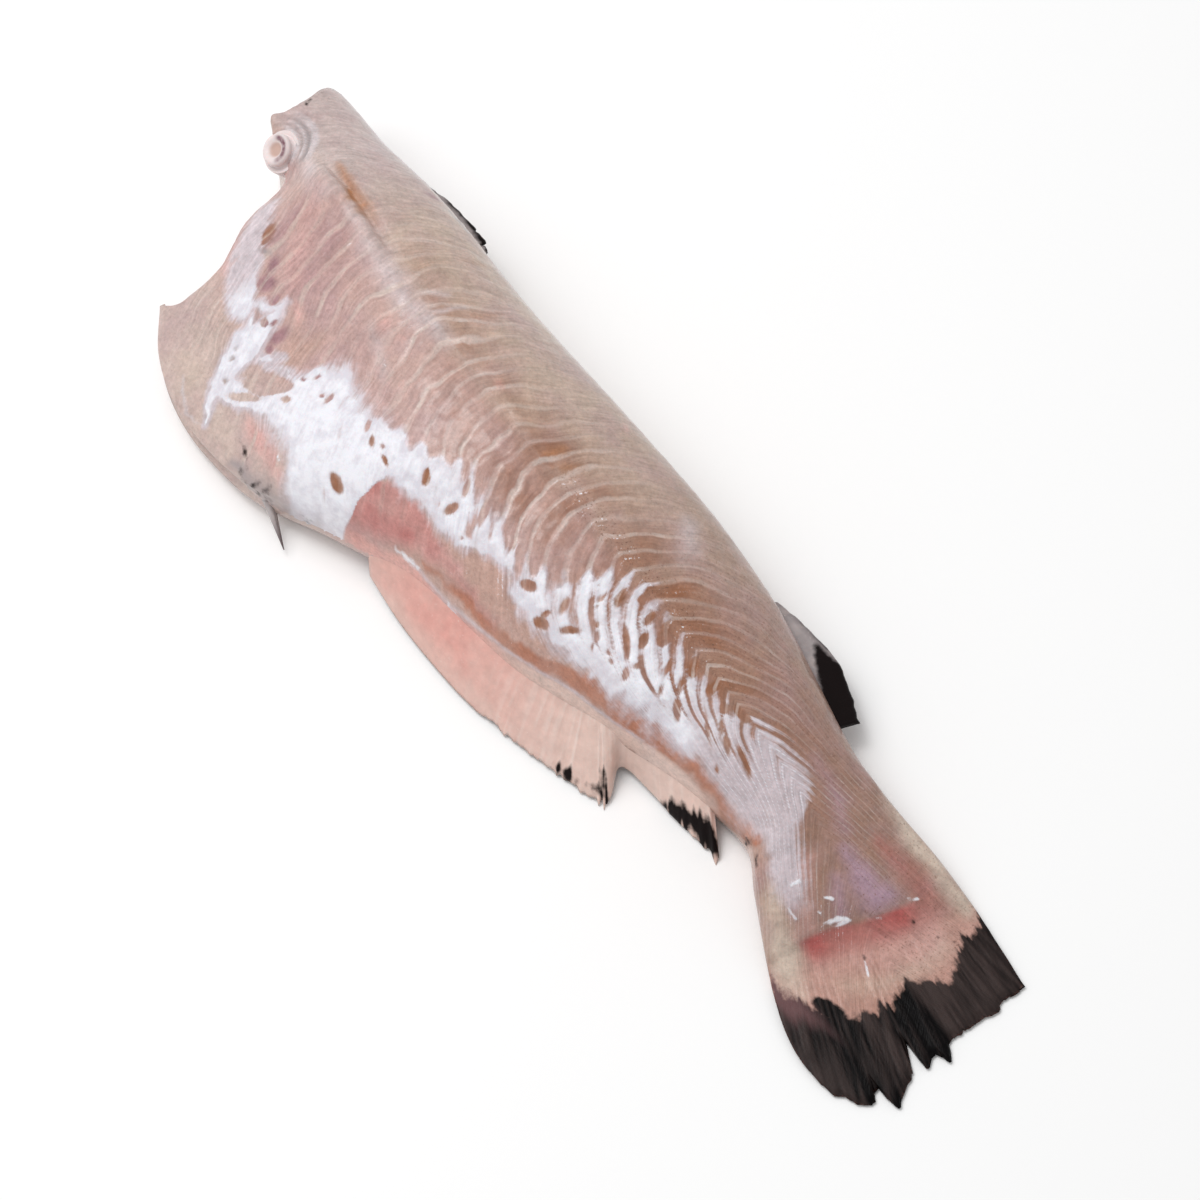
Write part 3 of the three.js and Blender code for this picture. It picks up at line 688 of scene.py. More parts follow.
class FleshLook(bpy.types.PropertyGroup):
    """Colours and wetness of the skinned flesh."""
    back: paint("Back", "#c7b2a4", "Muscle of the back")
    flank: paint("Flank", "#c2a29a", "Muscle below the lateral line")
    nape: paint("Nape", "#c6b4b0", "Muscle near the neck")
    dusk: paint("Tail stalk", "#a08072", "Muscle towards the tail")
    flap: paint("Belly flap", "#c7b2aa", "Inside of the thin belly wall")
    russet: paint("Red muscle", "#96674e", "Red muscle beside the lateral line")
    orange: paint("Fat streak", "#b17a52", "Orange fat behind the neck and by the lateral line")
    wall: paint("Muscle wall", "#d3bfb6", "Thin pale walls between the muscle blocks")
    tan: paint("Fin root", "#bf9d91", "Muscle along the root of the anal fin")
    seam: paint("Fin seam", "#b1755c", "Red brown muscle where the anal fin leaves the flesh")
    salmon: paint("Salmon", "#dda79d", "Flesh that runs out into the front of the anal fin")
    shell: paint("Shell", "#dcc0b5", "Flesh that runs out into the rear of the anal fin")
    rose: paint("Rose", "#d3a7a1", "Pink flush by the vent, the pelvic fin and the tail")
    # A pale film, partly painted sheen; also the painted sheen on the crests of the rings round the neck bone
    sheen: paint("Sheen", "#cfc4c6", "Pale grey lilac film on the nape and along the lateral line")
    lilac: paint("Lilac", "#b293a2", "Wet lilac film on the tail stalk")
    web: paint("Tail web", "#c0978b", "Thin web between the tail rays")
    cream: paint("Cream", "#d0bdae", "Cream margins of the tail")
    # Also the painted shade in the innermost trough of the rings round the neck bone
    mauve: paint("Mauve", "#a07a80", "Small bruised islands of muscle")
    blush: paint("Blush", "#b4969a", "Mauve clouds in all the flesh")
    red: paint("Red", "#b6635f", "Blood red at the vent and the root of the tail")
    # Also the painted shade in the troughs of the rings round the neck bone
    skin: paint("Skin left", "#9f9596", "Grey skin left on the belly edge")
    # Also the colour of the painted glints and of the white streaks of painted highlight
    silver: paint("Membrane", "#efeef4", "Silver white membrane")
    pearl: paint("Dull membrane", "#dad6de", "Dull patches of the membrane")
    film: paint("Thin membrane", "#cfc4ca", "Membrane so thin that the flesh shows through")
    fleck: paint("Fleck", "#7f5d4e", "Brown flecks in the muscle")
    soot: paint("Black", "#060405", "Black tail margin")
    plum: paint("Thin black", "#413634", "Black skin so thin that light shows through")
    haze: paint("Haze", "#6d5051", "Plum haze at the lower corner of the tail")
    wet: share("Wetness", 0.75, "Weight of the wet coat over the flesh")
    fibre: measure("Fibre length", FIBRE_LENGTH * MM, "Length of the fibres drawn in the muscle")


class FinLook(bpy.types.PropertyGroup):
    """Colours of the fins, the bone and the spine, and the spine's size."""
    salmon: paint("Salmon", "#dda399", "Front of the anal fin")
    cream: paint("Cream", "#dfc3b8", "Rear of the anal fin")
    # Also the colour of the pale specks painted as glints on the fins
    ray: paint("Ray", "#ecdcd4", "Pale rays that show through the web")
    black: paint("Black", "#160f0f", "Black skin on the fins")
    grey: paint("Grey", "#bdb4b3", "Grey skin on the fins")
    slate: paint("Slate", "#6d6264", "Dark grey skin on the fins and the spine")
    bone: paint("Bone", "#e8dbda", "Cut end of the backbone")
    core: paint("Bone core", "#c9aba0", "Tan middle of the backbone")
    # Painted shade in the hollow end of the backbone, as a dark crescent
    marrow: paint("Hollow shade", "#6f4450", "Dark crescent in the backbone")
    spine: measure("Spine radius", SPINE_RADIUS * MM, "Radius of the pelvic spine at its root")


class StageLook(bpy.types.PropertyGroup):
    """Floor, light and view."""
    floor: paint("Floor", "#ffffff", "Plain pale floor")
    floor_size: measure("Floor size", FLOOR_SIZE, "Half the width of the floor")
    sky: FloatProperty(name="Sky", description="Strength of the light from all sides", default=0.5, min=0)
    key: power("Key", 9.9, "Power of the large soft light")
    glint: power("Glint", 3, "Power of the small light that shows the wet film")
    lens: FloatProperty(name="Lens", description="Focal length of the camera", default=CAMERA_LENS, min=1,
                        subtype="DISTANCE_CAMERA")
    distance: measure("Distance", CAMERA_DISTANCE * MM, "From the camera to the fish")


def along(stations):
    """A smooth curve through (place, value) stations, level beyond both ends."""
    places, values = np.array(stations, float).T
    index = np.arange(len(places))
    before = np.maximum(index - 1, 0)
    after = np.minimum(index + 1, len(places) - 1)
    slopes = (values[after] - values[before]) / (places[after] - places[before])

    def curve(place):
        place = np.clip(place, places[0], places[-1])
        i = np.clip(np.searchsorted(places, place, side="right") - 1, 0, len(places) - 2)
        span = places[i + 1] - places[i]
        t = (place - places[i]) / span
        rise = values[i] * (2 * t + 1) * (1 - t) ** 2 + values[i + 1] * (3 - 2 * t) * t ** 2
        return rise + span * t * (1 - t) * (slopes[i] * (1 - t) - slopes[i + 1] * t)

    return curve


back_edge = along(BACK_EDGE)
lateral_line = along(LATERAL_LINE)
belly_edge = along(BELLY_EDGE)
flank_top = along(FLANK_TOP)
back_rim = along(BACK_RIM)
belly_rim = along(BELLY_RIM)
neck_cut = along(NECK_CUT)
sweep_share = along(SWEEP_SHARE)
flap_share = along(FLAP_SHARE)
slit_depth = along(SLIT_DEPTH)


def metres(points):
    """Places in millimetres on the fish as metres in the frame."""
    return (np.array(points, float) - CENTRE) * MM


def lerp(a, b, t):
    """Between a and b, at share t."""
    return a + (b - a) * t


def ramp(value, start, end):
    """0 up to start, 1 from end on, and smooth between them."""
    t = np.clip((value - start) / (end - start), 0, 1)
    return t * t * (3 - 2 * t)


def within(value, start, full, last, end):
    """1 from full to last, 0 before start and beyond end, and smooth between them."""
    return ramp(value, start, full) * ramp(value, end, last)


def mottle(x, y, grain, seed):
    """Seeded smooth unevenness from -1 to 1, with lumps of about the grain's size."""
    lattice = np.random.default_rng(seed).uniform(-1, 1, (LATTICE, LATTICE))
    across = x / grain
    down = y / grain
    i = np.floor(across).astype(int)
    j = np.floor(down).astype(int)
    rows = []
    for row in ((j + step) % LATTICE for step in (0, 1)):
        rows.append(lerp(lattice[i % LATTICE, row], lattice[(i + 1) % LATTICE, row], ramp(across - i, 0, 1)))
    return lerp(*rows, ramp(down - j, 0, 1))


def uneven(x, y, grain, seed):
    """Seeded unevenness from about -1 to 1, with lumps of the grain's size and finer ones on them."""
    return sum(mottle(x, y, grain / 2 ** k, seed + k) / 2 ** k for k in range(LUMP_KINDS))


def inside_spots(x, y, spots):
    """Millimetres inside the rim of the nearest of some ellipses, below 0 outside."""
    depth = np.full_like(x, OUTSIDE)
    for at_x, at_y, length, width, turn in spots:
        cos, sin = math.cos(math.radians(turn)), math.sin(math.radians(turn))
        u = ((x - at_x) * cos + (y - at_y) * sin) / length
        v = ((y - at_y) * cos - (x - at_x) * sin) / width
        depth = np.maximum(depth, (1 - np.hypot(u, v)) * width)
    return depth


def inside_bands(x, y, bands):
    """Millimetres inside the edge of the nearest of some bands, below 0 outside."""
    depth = np.full_like(x, OUTSIDE)
    for points in bands:
        for (ax, ay, a_half), (bx, by, b_half) in zip(points, points[1:]):
            length = math.hypot(bx - ax, by - ay)
            t = np.clip(((x - ax) * (bx - ax) + (y - ay) * (by - ay)) / length ** 2, 0, 1)
            away = np.hypot(x - lerp(ax, bx, t), y - lerp(ay, by, t))
            depth = np.maximum(depth, lerp(a_half, b_half, t) - away)
    return depth


def wall_x(station, q):
    """Where the row that starts at a station on the lateral line runs, across the fish."""
    back = BACK_SWEEP * q * lerp(1, q, BACK_BEND)
    belly = BELLY_SWEEP * np.abs(q) ** BELLY_BEND
    return station + np.where(q > 0, back, belly) * sweep_share(station)


def flesh_end(q):
    """Where the flesh ends on the tail, across the fish."""
    return FLESH_END + np.abs(q) * np.where(q > 0, FLESH_END_BACK, FLESH_END_BELLY)


def across_y(x, q):
    """y of the point q across the fish, at a given x."""
    middle = lateral_line(x)
    return lerp(middle, np.where(q > 0, back_edge(x), belly_edge(x)), np.abs(q))


def fan_edge(q):
    """x and y of the tail fan's rim, across the fish: uneven ray ends, and slits along the rays."""
    from_x, from_y = np.array(FAN_RIM, float).T - np.array(RAY_ORIGIN)[:, None]
    turns = np.arctan2(from_y, from_x)
    middle = math.atan2(across_y(FAN_END, 0.0) - RAY_ORIGIN[1], FAN_END - RAY_ORIGIN[0])
    turn = np.where(q > 0, lerp(middle, turns[-1], q), lerp(middle, turns[0], -q))
    reach = np.interp(turn, turns, np.hypot(from_x, from_y))
    reach = reach + RIM_FRAY * mottle(turn * RAY_REACH, np.zeros_like(turn), FRAY_GRAIN, SEED["tail rim"])
    return RAY_ORIGIN[0] + reach * np.cos(turn), RAY_ORIGIN[1] + reach * np.sin(turn)


def plan(station, q):
    """x and y of a row: the neck cut, the leaning rows, the flesh end and a fan that opens along its rays."""
    neck = lerp(neck_cut(q), wall_x(FIRST_WALL, q), (station - NECK_STATION) / (FIRST_WALL - NECK_STATION))
    stalk = lerp(wall_x(LAST_WALL, q), flesh_end(q), (station - LAST_WALL) / (FLESH_END - LAST_WALL))
    spans = [station < FIRST_WALL, station <= LAST_WALL, station <= FLESH_END]
    x = np.select(spans, [neck, wall_x(station, q), stalk], flesh_end(q))
    y = across_y(x, q)
    out = np.clip((station - FLESH_END) / (FAN_END - FLESH_END), 0, 1)
    rim_x, rim_y = fan_edge(q)
    side = np.where(q > 0, 1.0, -1.0)
    end_x, end_y = fan_edge(side)
    edge_x = lerp(flesh_end(side), end_x, out)
    bulge = across_y(edge_x, side) - lerp(across_y(flesh_end(side), side), end_y, out)
    return lerp(x, rim_x, out), lerp(y, rim_y, out) + np.where(out > 0, bulge, 0) * np.abs(q) ** FAN_EDGE


def dome(x, q):
    """Share of the flank's height left at q: a round back, and a belly that thins to its flap."""
    full = (1 - q * q) ** DOME_POWER
    fall = 0.5 + 0.5 * np.cos(np.pi * np.abs(q) ** FLAP_CURVE)
    flap = lerp(FLAP_LEFT * (1 - q ** FLAP_ROUND) ** 0.5, 1, fall)
    return np.where(q > 0, full, lerp(full, flap, flap_share(x)))


def body_surface(station, q, upper, opened):
    """Points of the body, on the flank that shows or the one below, with the neck cut closed in."""
    x, y = plan(station, q)
    y = y + slit_depth(x) * ramp(-q, SLIT_LIPS, 1)
    rim = lerp(belly_rim(x), back_rim(x), (q + 1) / 2)
    from_bone = np.hypot(x - BONE_CENTRE[0], y - BONE_CENTRE[1]) / BONE_DENT_REACH
    top = rim + (flank_top(station) - rim) * dome(x, q) - BONE_DENT * np.exp(-from_bone ** 2)
    lift = np.maximum(0, 1 - (1 - q * q) ** 0.5 / FLAT_SHARE)
    bottom = rim * lift ** UNDER_POWER
    middle = (top + bottom) / 2
    z = lerp(middle, np.where(upper, top, bottom), opened)
    recess = np.where(q < 0, CUT_RECESS, NAPE_RECESS) * (1 - q ** RECESS_ROUND)
    return x + (1 - opened) ** 2 * np.where(station < FIRST_WALL, recess, RIM_ROUND), y, z


def wall_number(station):
    """Number of the muscle wall that starts at a station; a block's middle is a half."""
    shorten = 2 * ((LAST_WALL - FIRST_WALL) / BLOCKS - FRONT_BLOCK) / BLOCKS
    return (np.sqrt(FRONT_BLOCK ** 2 + 2 * shorten * (station - FIRST_WALL)) - FRONT_BLOCK) / shorten


def muscle_blocks(x, y, q):
    """Number of the bared muscle block at each point, which passes a whole number at every wall."""
    reach = np.abs(q)
    back = along(BACK_FOLD)(x) * reach * lerp(1, reach, BACK_BEND)
    belly = along(BELLY_FOLD)(x) * reach * lerp(1, reach, BELLY_CURL)
    lean = np.where(q > 0, back, belly)
    return wall_number(x - lean) + WALL_WOBBLE * uneven(x, y, LUMP_SIZE, SEED["muscle blocks"])


def by_wall(block, low, high, seed):
    """A seeded amount from low to high for each muscle block, or each wall if block is moved on by a half."""
    amounts = np.random.default_rng(seed).uniform(low, high, WALL_DRAWS)
    return amounts[np.floor(block).astype(int) % len(amounts)]


def near_wall(block):
    """1 on a muscle wall, 0 in the middle of a block, and smooth between them."""
    return 0.5 + 0.5 * np.cos(math.tau * block)


def membrane_depth(x, y, block):
    """Millimetres inside the torn edge of the membrane, whose fingers run up along the muscle walls."""
    ragged = sum(lift * uneven(x, y, grain, seed) for grain, lift, seed in SILVER_RAGGED)
    fingers = along(SILVER_FINGERS)(x) * (2 * near_wall(block) - 1)
    fingers = fingers * by_wall(block + 0.5, *FINGER_RANGE, SEED["fingers"])
    below = along(SILVER_TOP)(x) - y + fingers
    above = y - along(SILVER_LOW)(x)
    start, end = SILVER_ENDS
    sheet = np.minimum.reduce([below, above, x - start, end - x])
    return np.maximum(sheet, inside_bands(x, y, SILVER_BANDS)) + along(SILVER_TORN)(x) * ragged


def stain(name, x, y):
    """How strongly a tint shows, from its bands and spots."""
    strength = np.zeros_like(x)
    for fade, full, points in BANDS.get(name, []):
        strength = np.maximum(strength, full * ramp(inside_bands(x, y, [points]), -fade, fade))
    if name in SPOTS:
        fade, full, spots = SPOTS[name]
        strength = np.maximum(strength, full * ramp(inside_spots(x, y, spots), -fade, fade))
    return strength


def bone_rings(x, y):
    """Tints and relief of the rings of tissue round the neck bone; the tints paint sheen on the ripple's
    crests and shade in its troughs.
    """
    away_x, away_y = x - RING_CENTRE[0], y - RING_CENTRE[1]
    radius = np.hypot(away_x, away_y)
    turn = np.degrees(np.arctan2(away_y, away_x))
    around = within(turn, *RING_TURN)
    tints = {}
    for middle, half, name, full in RING_SHEEN_AND_SHADE:
        ring = full * around * ramp(half - np.abs(radius - middle), -RING_FADE, RING_FADE)
        tints[name] = np.maximum(tints.get(name, 0), ring)
    span = around * within(radius, *RING_SPAN)
    return tints, RING_LIFT * span * np.cos(math.tau * (radius - RING_CREST) / RING_STEP)


def tail_rays(x, y):
    """Seeded streaks that spread with the tail's rays, broad and fine, each from -1 to 1."""
    away_x, away_y = x - RAY_ORIGIN[0], y - RAY_ORIGIN[1]
    across = np.arctan2(away_y, away_x) * RAY_REACH / RAY_GRAIN
    out = np.hypot(away_x, away_y) / RAY_LENGTH
    fine = mottle(across * RAY_FINER, out * RAY_FINER, 1, SEED["fine rays"])
    return mottle(across, out, 1, SEED["rays"]), fine


class Skin:
    """Points of the body's skin, with what several of its looks read.

    x and y lie in the plan, q runs across the fish, upper is true on the flank that shows, and opened falls
    from 1 to 0 where the neck cut and the tail's rim close.
    """

    def __init__(self, x, y, q, upper, opened):
        self.x, self.y, self.q = x, y, q
        self.upper = upper
        self.on_cut = opened < 1
        self.drawn = upper & ~self.on_cut
        self.hidden = np.where(self.drawn, 0, OUTSIDE)
        self.side = y - lateral_line(x)
        self.warped = (x + WARP * uneven(x, y, WARP_GRAIN, SEED["warp along"]),
                       y + WARP * uneven(x, y, WARP_GRAIN, SEED["warp across"]))
        self.patchy = 1 + PATCHY * uneven(x, y, PATCH_GRAIN, SEED["patches"])
        self.block = np.where(self.on_cut, CUT_RINGS * opened + 0.5, muscle_blocks(x, y, q))
        from_middle = np.abs(2 * (self.block - np.floor(self.block)) - 1)
        self.line = ramp(from_middle, 1 - 2 * WALL_WIDTH, 1)
        self.fan = ramp(x - flesh_end(q), *FAN_FADE)
        self.rays = tail_rays(x, y)
        self.rings, self.ripple = bone_rings(x, y)
        self.crease = along(STRIP)(x)
        self.root = ramp(along(SILVER_LOW)(x) - y, *ROOT_EDGE) * within(x, *ROOT_SPAN)
        self.on_fin = ramp(self.crease - y, *STRIP_EDGE) * within(x, *STRIP_SPAN)


def wall_strength(at):
    """How plainly the walls between the muscle blocks show."""
    fade = 1 - WALL_FADE * ramp(at.side, *WALL_REACH)
    walls = np.where(at.side > 0, along(BACK_WALLS)(at.x) * fade, along(BELLY_WALLS)(at.x))
    walls = walls * by_wall(at.block + 0.5, *WALL_RANGE, SEED["wall strength"])
    breaks = uneven(at.x, at.y, LUMP_SIZE, SEED["wall breaks"])
    walls = walls * lerp(WALL_BROKEN, 1, ramp(breaks, *WALL_BREAKS))
    walls = walls * lerp(1, ramp(np.abs(at.side), *STALK_GAP), ramp(at.x, *STALK_WALLS))
    return np.where(at.on_cut, CUT_WALLS, walls)


def red_muscle(at):
    """How strongly the red muscle beside the lateral line shows between the walls."""
    above = at.side > 0
    near = 1 - np.where(above, ramp(at.side, *RUSSET_REACH["back"]), ramp(-at.side, *RUSSET_REACH["belly"]))
    red = np.where(above, along(BACK_RUSSET)(at.x), along(BELLY_RUSSET)(at.x)) * near
    return red * by_wall(at.block, *RUSSET_RANGE, SEED["red muscle"]) * (1 - RUSSET_AT_WALL * at.line)


def front_blocks(at):
    """How strongly each muscle block at the front of the flank shows its mauve."""
    front = within(at.x, *FRONT_BLOCKS) * within(at.side, *FRONT_ACROSS)
    return front * by_wall(at.block, *FRONT_MAUVE, SEED["front blocks"]) * at.patchy * (1 - at.line)


def tail_bar(at):
    """How red the bar across the root of the tail is."""
    behind = at.x - along(BAR_EDGE)(at.y)
    return along(BAR_RED)(at.y) * ramp(behind, *BAR_FRONT) * (1 - ramp(behind, *BAR_FADE)) * at.patchy


def flesh_tints(at, walls):
    """How strongly each tint of the flesh shows, from 0 to 1."""
    flap = ramp(at.q, *FLAP_ACROSS) * ramp(at.x, *FLAP_ALONG)
    length, width = ROOT_FIBRE
    fibres = mottle(at.x / length, (at.y - at.crease) / width, 1, SEED["root fibres"])
    level, swing = ROOT_TONE
    paler = ramp(at.x + STRIP_UNEVEN * mottle(at.x, at.y, LUMP_SIZE, SEED["paler fin"]), *STRIP_PALER)
    shown = {
        "flank": ramp(at.side, *FLANK_FADE) * (1 - flap),
        "nape": ramp(at.x, *NAPE_ALONG) * ramp(at.side, *NAPE_ACROSS),
        "dusk": ramp(at.x, lerp(DUSK_BELLY, DUSK_BACK, ramp(at.side, *DUSK_ACROSS)), DUSK_FULL),
        "flap": flap,
        "web": ramp(at.x - flesh_end(at.q), *WEB_FADE),
        "russet": red_muscle(at) * at.patchy * (1 - at.root),
        "tan": at.root * (level + swing * fibres),
        "mauve": front_blocks(at) * at.drawn,
        "salmon": at.on_fin * (1 - paler) * at.drawn,
        "shell": at.on_fin * paler * at.drawn,
        "red": tail_bar(at) * at.drawn,
        "wall": walls * (1 - at.root) * at.patchy,
    }
    tints = {}
    for name in TINTS:
        # Each tint from its stains and from the rings round the neck bone, whose tints are painted sheen and
        # shade
        stained = np.maximum(stain(name, *at.warped), at.rings.get(name, 0)) * at.patchy
        stained = np.clip(stained, 0, 1) * at.drawn
        tints[name] = np.clip(np.maximum(stained, shown.get(name, 0)), 0, 1)
    return tints


def open_cells(at):
    """Cells of bare muscle between the membrane's strands, below 0 inside a cell."""
    x, y = at.warped
    lattice = CELL_UNEVEN * uneven(at.block * LUMP_SIZE, at.side, CELL_LENGTH, SEED["cells"])
    height, steepness = CELL_ABOVE
    above_low = (y - along(SILVER_LOW)(x) - height) * steepness + lattice
    between_walls = CELL_WIDTH - near_wall(at.block)
    share_open = along(SILVER_CELLS)(at.x) - CELL_UNEVEN + lattice
    return np.minimum.reduce([between_walls, share_open, above_low]) * CELL_DEPTH / -CELL_SOFT


def fin_thread(at):
    """Thread of white tissue along the crease of the anal fin, above 0 inside it."""
    thread = inside_bands(at.x, at.y, [[(x, y, THREAD_HALF) for x, y in STRIP]]) / THREAD_SOFT
    return np.where(within(at.x, *THREAD_SPAN) > 0.5, thread, OUTSIDE)


def membrane_fields(at):
    """The silver membrane and the film round it, above 0 inside their torn edges, and how thick it lies,
    which whitens its middle as a painted highlight.
    """
    depth = membrane_depth(*at.warped, at.block)
    soft = along(SILVER_SOFT)(at.x)
    cloud = along(SILVER_TORN)(at.x) * uneven(at.x, at.y, PATCH_GRAIN, SEED["membrane clouds"])
    x, y = (lerp(still, moved, ISLAND_WARP) for still, moved in zip((at.x, at.y), at.warped))
    bare = inside_spots(x, y, TAN_ISLANDS + RUSSET_ISLANDS + MAUVE_ISLANDS + GREY_FLECKS) / -ISLAND_SOFT
    cells = open_cells(at)
    bright = BRIGHT_GAIN * along(SILVER_BRIGHT)(at.x) - BRIGHT_DROP + BRIGHT_CLOUD * cloud
    bright = bright + STRAND_BRIGHT * ramp(at.x, *STRAND_SPAN) * (2 * at.line - STRAND_DROP)
    silver = np.minimum.reduce([(depth - SILVER_INSET) / soft, bright, bare, cells])
    film = (depth + along(FILM_WIDER)(at.x)) / (soft * FILM_SOFTER) + FILM_CLOUD * cloud
    film = np.maximum(np.minimum.reduce([film, bare, cells + CELL_VEIL]), fin_thread(at))
    return {"silver": silver + at.hidden, "film": film + at.hidden, "thick": ramp(depth, 0, THICK_GLARE_REACH)}


def tail_fields(at):
    """The black skin, above 0 inside its torn edge, the haze on it, and where it is thin."""
    broad, fine = at.rays
    margin = at.x - along(TAIL_MARGIN)(at.y) + TAIL_STREAK[0] * broad + TAIL_STREAK[1] * fine
    haze = along(TAIL_HAZE)(at.y) * (1 - ramp(margin, *HAZE_FADE)) * at.upper
    black = np.where(at.fan > 0, margin / along(MARGIN_SOFT)(at.y), OUTSIDE)
    blots = np.maximum(inside_bands(at.x, at.y, SOOT_BANDS), inside_spots(*at.warped, SOOT_SPOTS)) / SOOT_SOFT
    thin = along(TAIL_THIN)(at.y) + THIN_STREAK[0] * broad + THIN_STREAK[1] * fine
    black = np.where(at.upper, np.maximum(black, blots), black)
    return {"soot": black, "haze": haze, "thin": np.clip(thin, 0, 1)}


def speckle_fields(at, film):
    """How thickly the glints, painted as pale specks, and the brown flecks are strewn, from 0 to 1."""
    speckled = np.exp(-((at.side - SPECKLED_LINE) / SPECKLED_WIDTH) ** 2) * within(at.x, *SPECKLED_SPAN)
    glint = GLINTS["everywhere"] + speckled
    glint = glint + GLINTS["strands"] * ramp(film, 0, 1) * within(at.x, *GLINT_STRANDS)
    glint = glint + GLINTS["fin root"] * at.root * ramp(at.x, *GLINT_ROOT) + GLINTS["fin"] * at.on_fin
    glint = glint + GLINTS["stalk"] * ramp(inside_bands(at.x, at.y, [WET_BAND]), -WET_FADE, WET_FADE)
    fleck = FLECKS["everywhere"] + FLECKS["lateral line"] * speckled
    fleck = fleck + FLECKS["back"] * ramp(at.x, *FLECK_BACK) * (at.side > 0)
    return {"glint": np.clip(glint, 0, 1) * at.drawn, "fleck": np.clip(fleck, 0, 1) * at.drawn}


def flesh_relief(at, walls, film, streak):
    """Height over the smooth form: grooves, fold, lumps and membrane on the flesh, and rays on the tail."""
    groove = WALL_DEPTH * at.line * walls
    crease = LATERAL_DEPTH * np.exp(-(at.side / LATERAL_WIDTH) ** 2) * ramp(at.x, *LATERAL_ENDS)
    dip = FOLD_DEPTH * np.exp(-((at.side - FOLD_OFFSET) / FOLD_WIDTH) ** 2)
    crest = FOLD_CREST * np.exp(-((at.side + 2 * FOLD_OFFSET) / (2 * FOLD_WIDTH)) ** 2)
    fold = (dip - crest) * within(at.x, *FOLD_SPAN)
    lumps = LUMP_LIFT * mottle(at.x, at.y, LUMP_SIZE, SEED["lumps"])
    lumps = lumps + PIT_LIFT * uneven(at.x, at.y, PIT_SIZE, SEED["pits"])
    raised = MEMBRANE_LIFT * ramp(film, -1, 1) + STREAK_LIFT * ramp(streak, -1, 1)
    broad, fine = at.rays
    rays = RAY_LIFT * (broad + RAY_FINE * fine)
    edge = 1 - ramp(np.abs(at.q), *RELIEF_FADE)
    flesh = (lumps + raised + at.ripple - groove - crease - fold) * edge * at.drawn
    return lerp(flesh, rays * at.drawn, at.fan)


def flesh_fields(at):
    """What the flesh shows: tints and amounts from 0 to 1, and torn edges in shares of their softness."""
    walls = wall_strength(at)
    fields = flesh_tints(at, walls)
    fields["block"] = at.block
    fields["grained"] = lerp(FIBRE_LEFT, 1, (1 - ramp(np.abs(at.q), *FIBRE_FADE)) * at.drawn)
    fields["streak"] = inside_bands(at.x, at.y, PALE_THREADS_AND_GLINTS) / STREAK_SOFT + at.hidden
    fields.update(membrane_fields(at))
    fields.update(tail_fields(at))
    fields.update(speckle_fields(at, fields["film"]))
    fields["relief"] = flesh_relief(at, walls, fields["film"], fields["streak"])
    return fields


def wrapped_grid(rows, columns, place):
    """A grid of rows by columns that place() wraps round a form, as a bmesh closed along its seams.

    place takes the row and column number of every vertex and gives x, y and z and the fields to keep there.
    """
    bm = bmesh.new()
    bmesh.ops.create_grid(bm, x_segments=rows - 1, y_segments=columns - 1, size=1)
    corners = np.array([vertex.co[:2] for vertex in bm.verts])
    row = np.rint((corners[:, 0] + 1) / 2 * (rows - 1)).astype(int)
    column = np.rint((corners[:, 1] + 1) / 2 * (columns - 1)).astype(int)
    points, fields = place(row, column)
    layers = [(bm.verts.layers.float.new(name), values.tolist()) for name, values in fields.items()]
    for i, (vertex, point) in enumerate(zip(bm.verts, metres(np.stack(points, 1)).tolist())):
        vertex.co = point
        for layer, values in layers:
            vertex[layer] = values[i]
    bmesh.ops.remove_doubles(bm, verts=bm.verts, dist=JOIN)
    gaps = [edge for edge in bm.edges if edge.is_boundary]
    bmesh.ops.holes_fill(bm, edges=gaps, sides=UNDER_STEP + 1)
    bmesh.ops.recalc_face_normals(bm, faces=bm.faces)
    return bm


def raise_relief(bm):
    """Moves every vertex out along its normal by its relief, which is then dropped."""
    layer = bm.verts.layers.float["relief"]
    bm.normal_update()
    for vertex in bm.verts:
        vertex.co += vertex.normal * vertex[layer] * MM
    bm.verts.layers.float.remove(layer)


def finish_piece(bm, name, material):
    """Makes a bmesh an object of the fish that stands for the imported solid."""
    mesh = bpy.data.meshes.new(name)
    bm.to_mesh(mesh)
    bm.free()
    mesh.shade_smooth()
    mesh.materials.append(material)
    piece = bpy.data.objects.new(name, mesh)
    bpy.context.scene.collection.objects.link(piece)
    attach(piece, BODY)
    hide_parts(NODE)


def node(tree, kind, inputs=(), out=0, **settings):
    """Adds a shader node with its settings, and its inputs set or linked; gives one of its outputs."""
    made = tree.nodes.new("ShaderNode" + kind)
    for name, value in settings.items():
        setattr(made, name, value)
    for socket, value in dict(inputs).items():
        if isinstance(value, bpy.types.NodeSocket):
            tree.links.new(value, made.inputs[socket])
        else:
            made.inputs[socket].default_value = value
    return made.outputs[out] if len(made.outputs) else None


def new_material(name):
    """An empty node material and its tree."""
    material = bpy.data.materials.new(name)
    material.use_nodes = True
    material.node_tree.nodes.clear()
    return material, material.node_tree


def fish_material(name, look, fields):
    """A new material and its tree, with noise, the user's colours and the mesh's fields by name."""
    material, tree = new_material(name)
    place = node(tree, "TexCoord", out="Object")
    noise = {}
    for key, size in PATTERNS.items():
        noise[key] = node(tree, "TexNoise", {"Vector": place, "Scale": 1 / (size * MM), **PATTERN_NOISE})
    colours = [key for key in look.__annotations__ if look.bl_rna.properties[key].is_array]
    tint = {key: (*getattr(look, key), 1) for key in colours}
    field = {key: node(tree, "Attribute", out="Fac", attribute_name=key) for key in fields}
    return material, tree, noise, tint, field


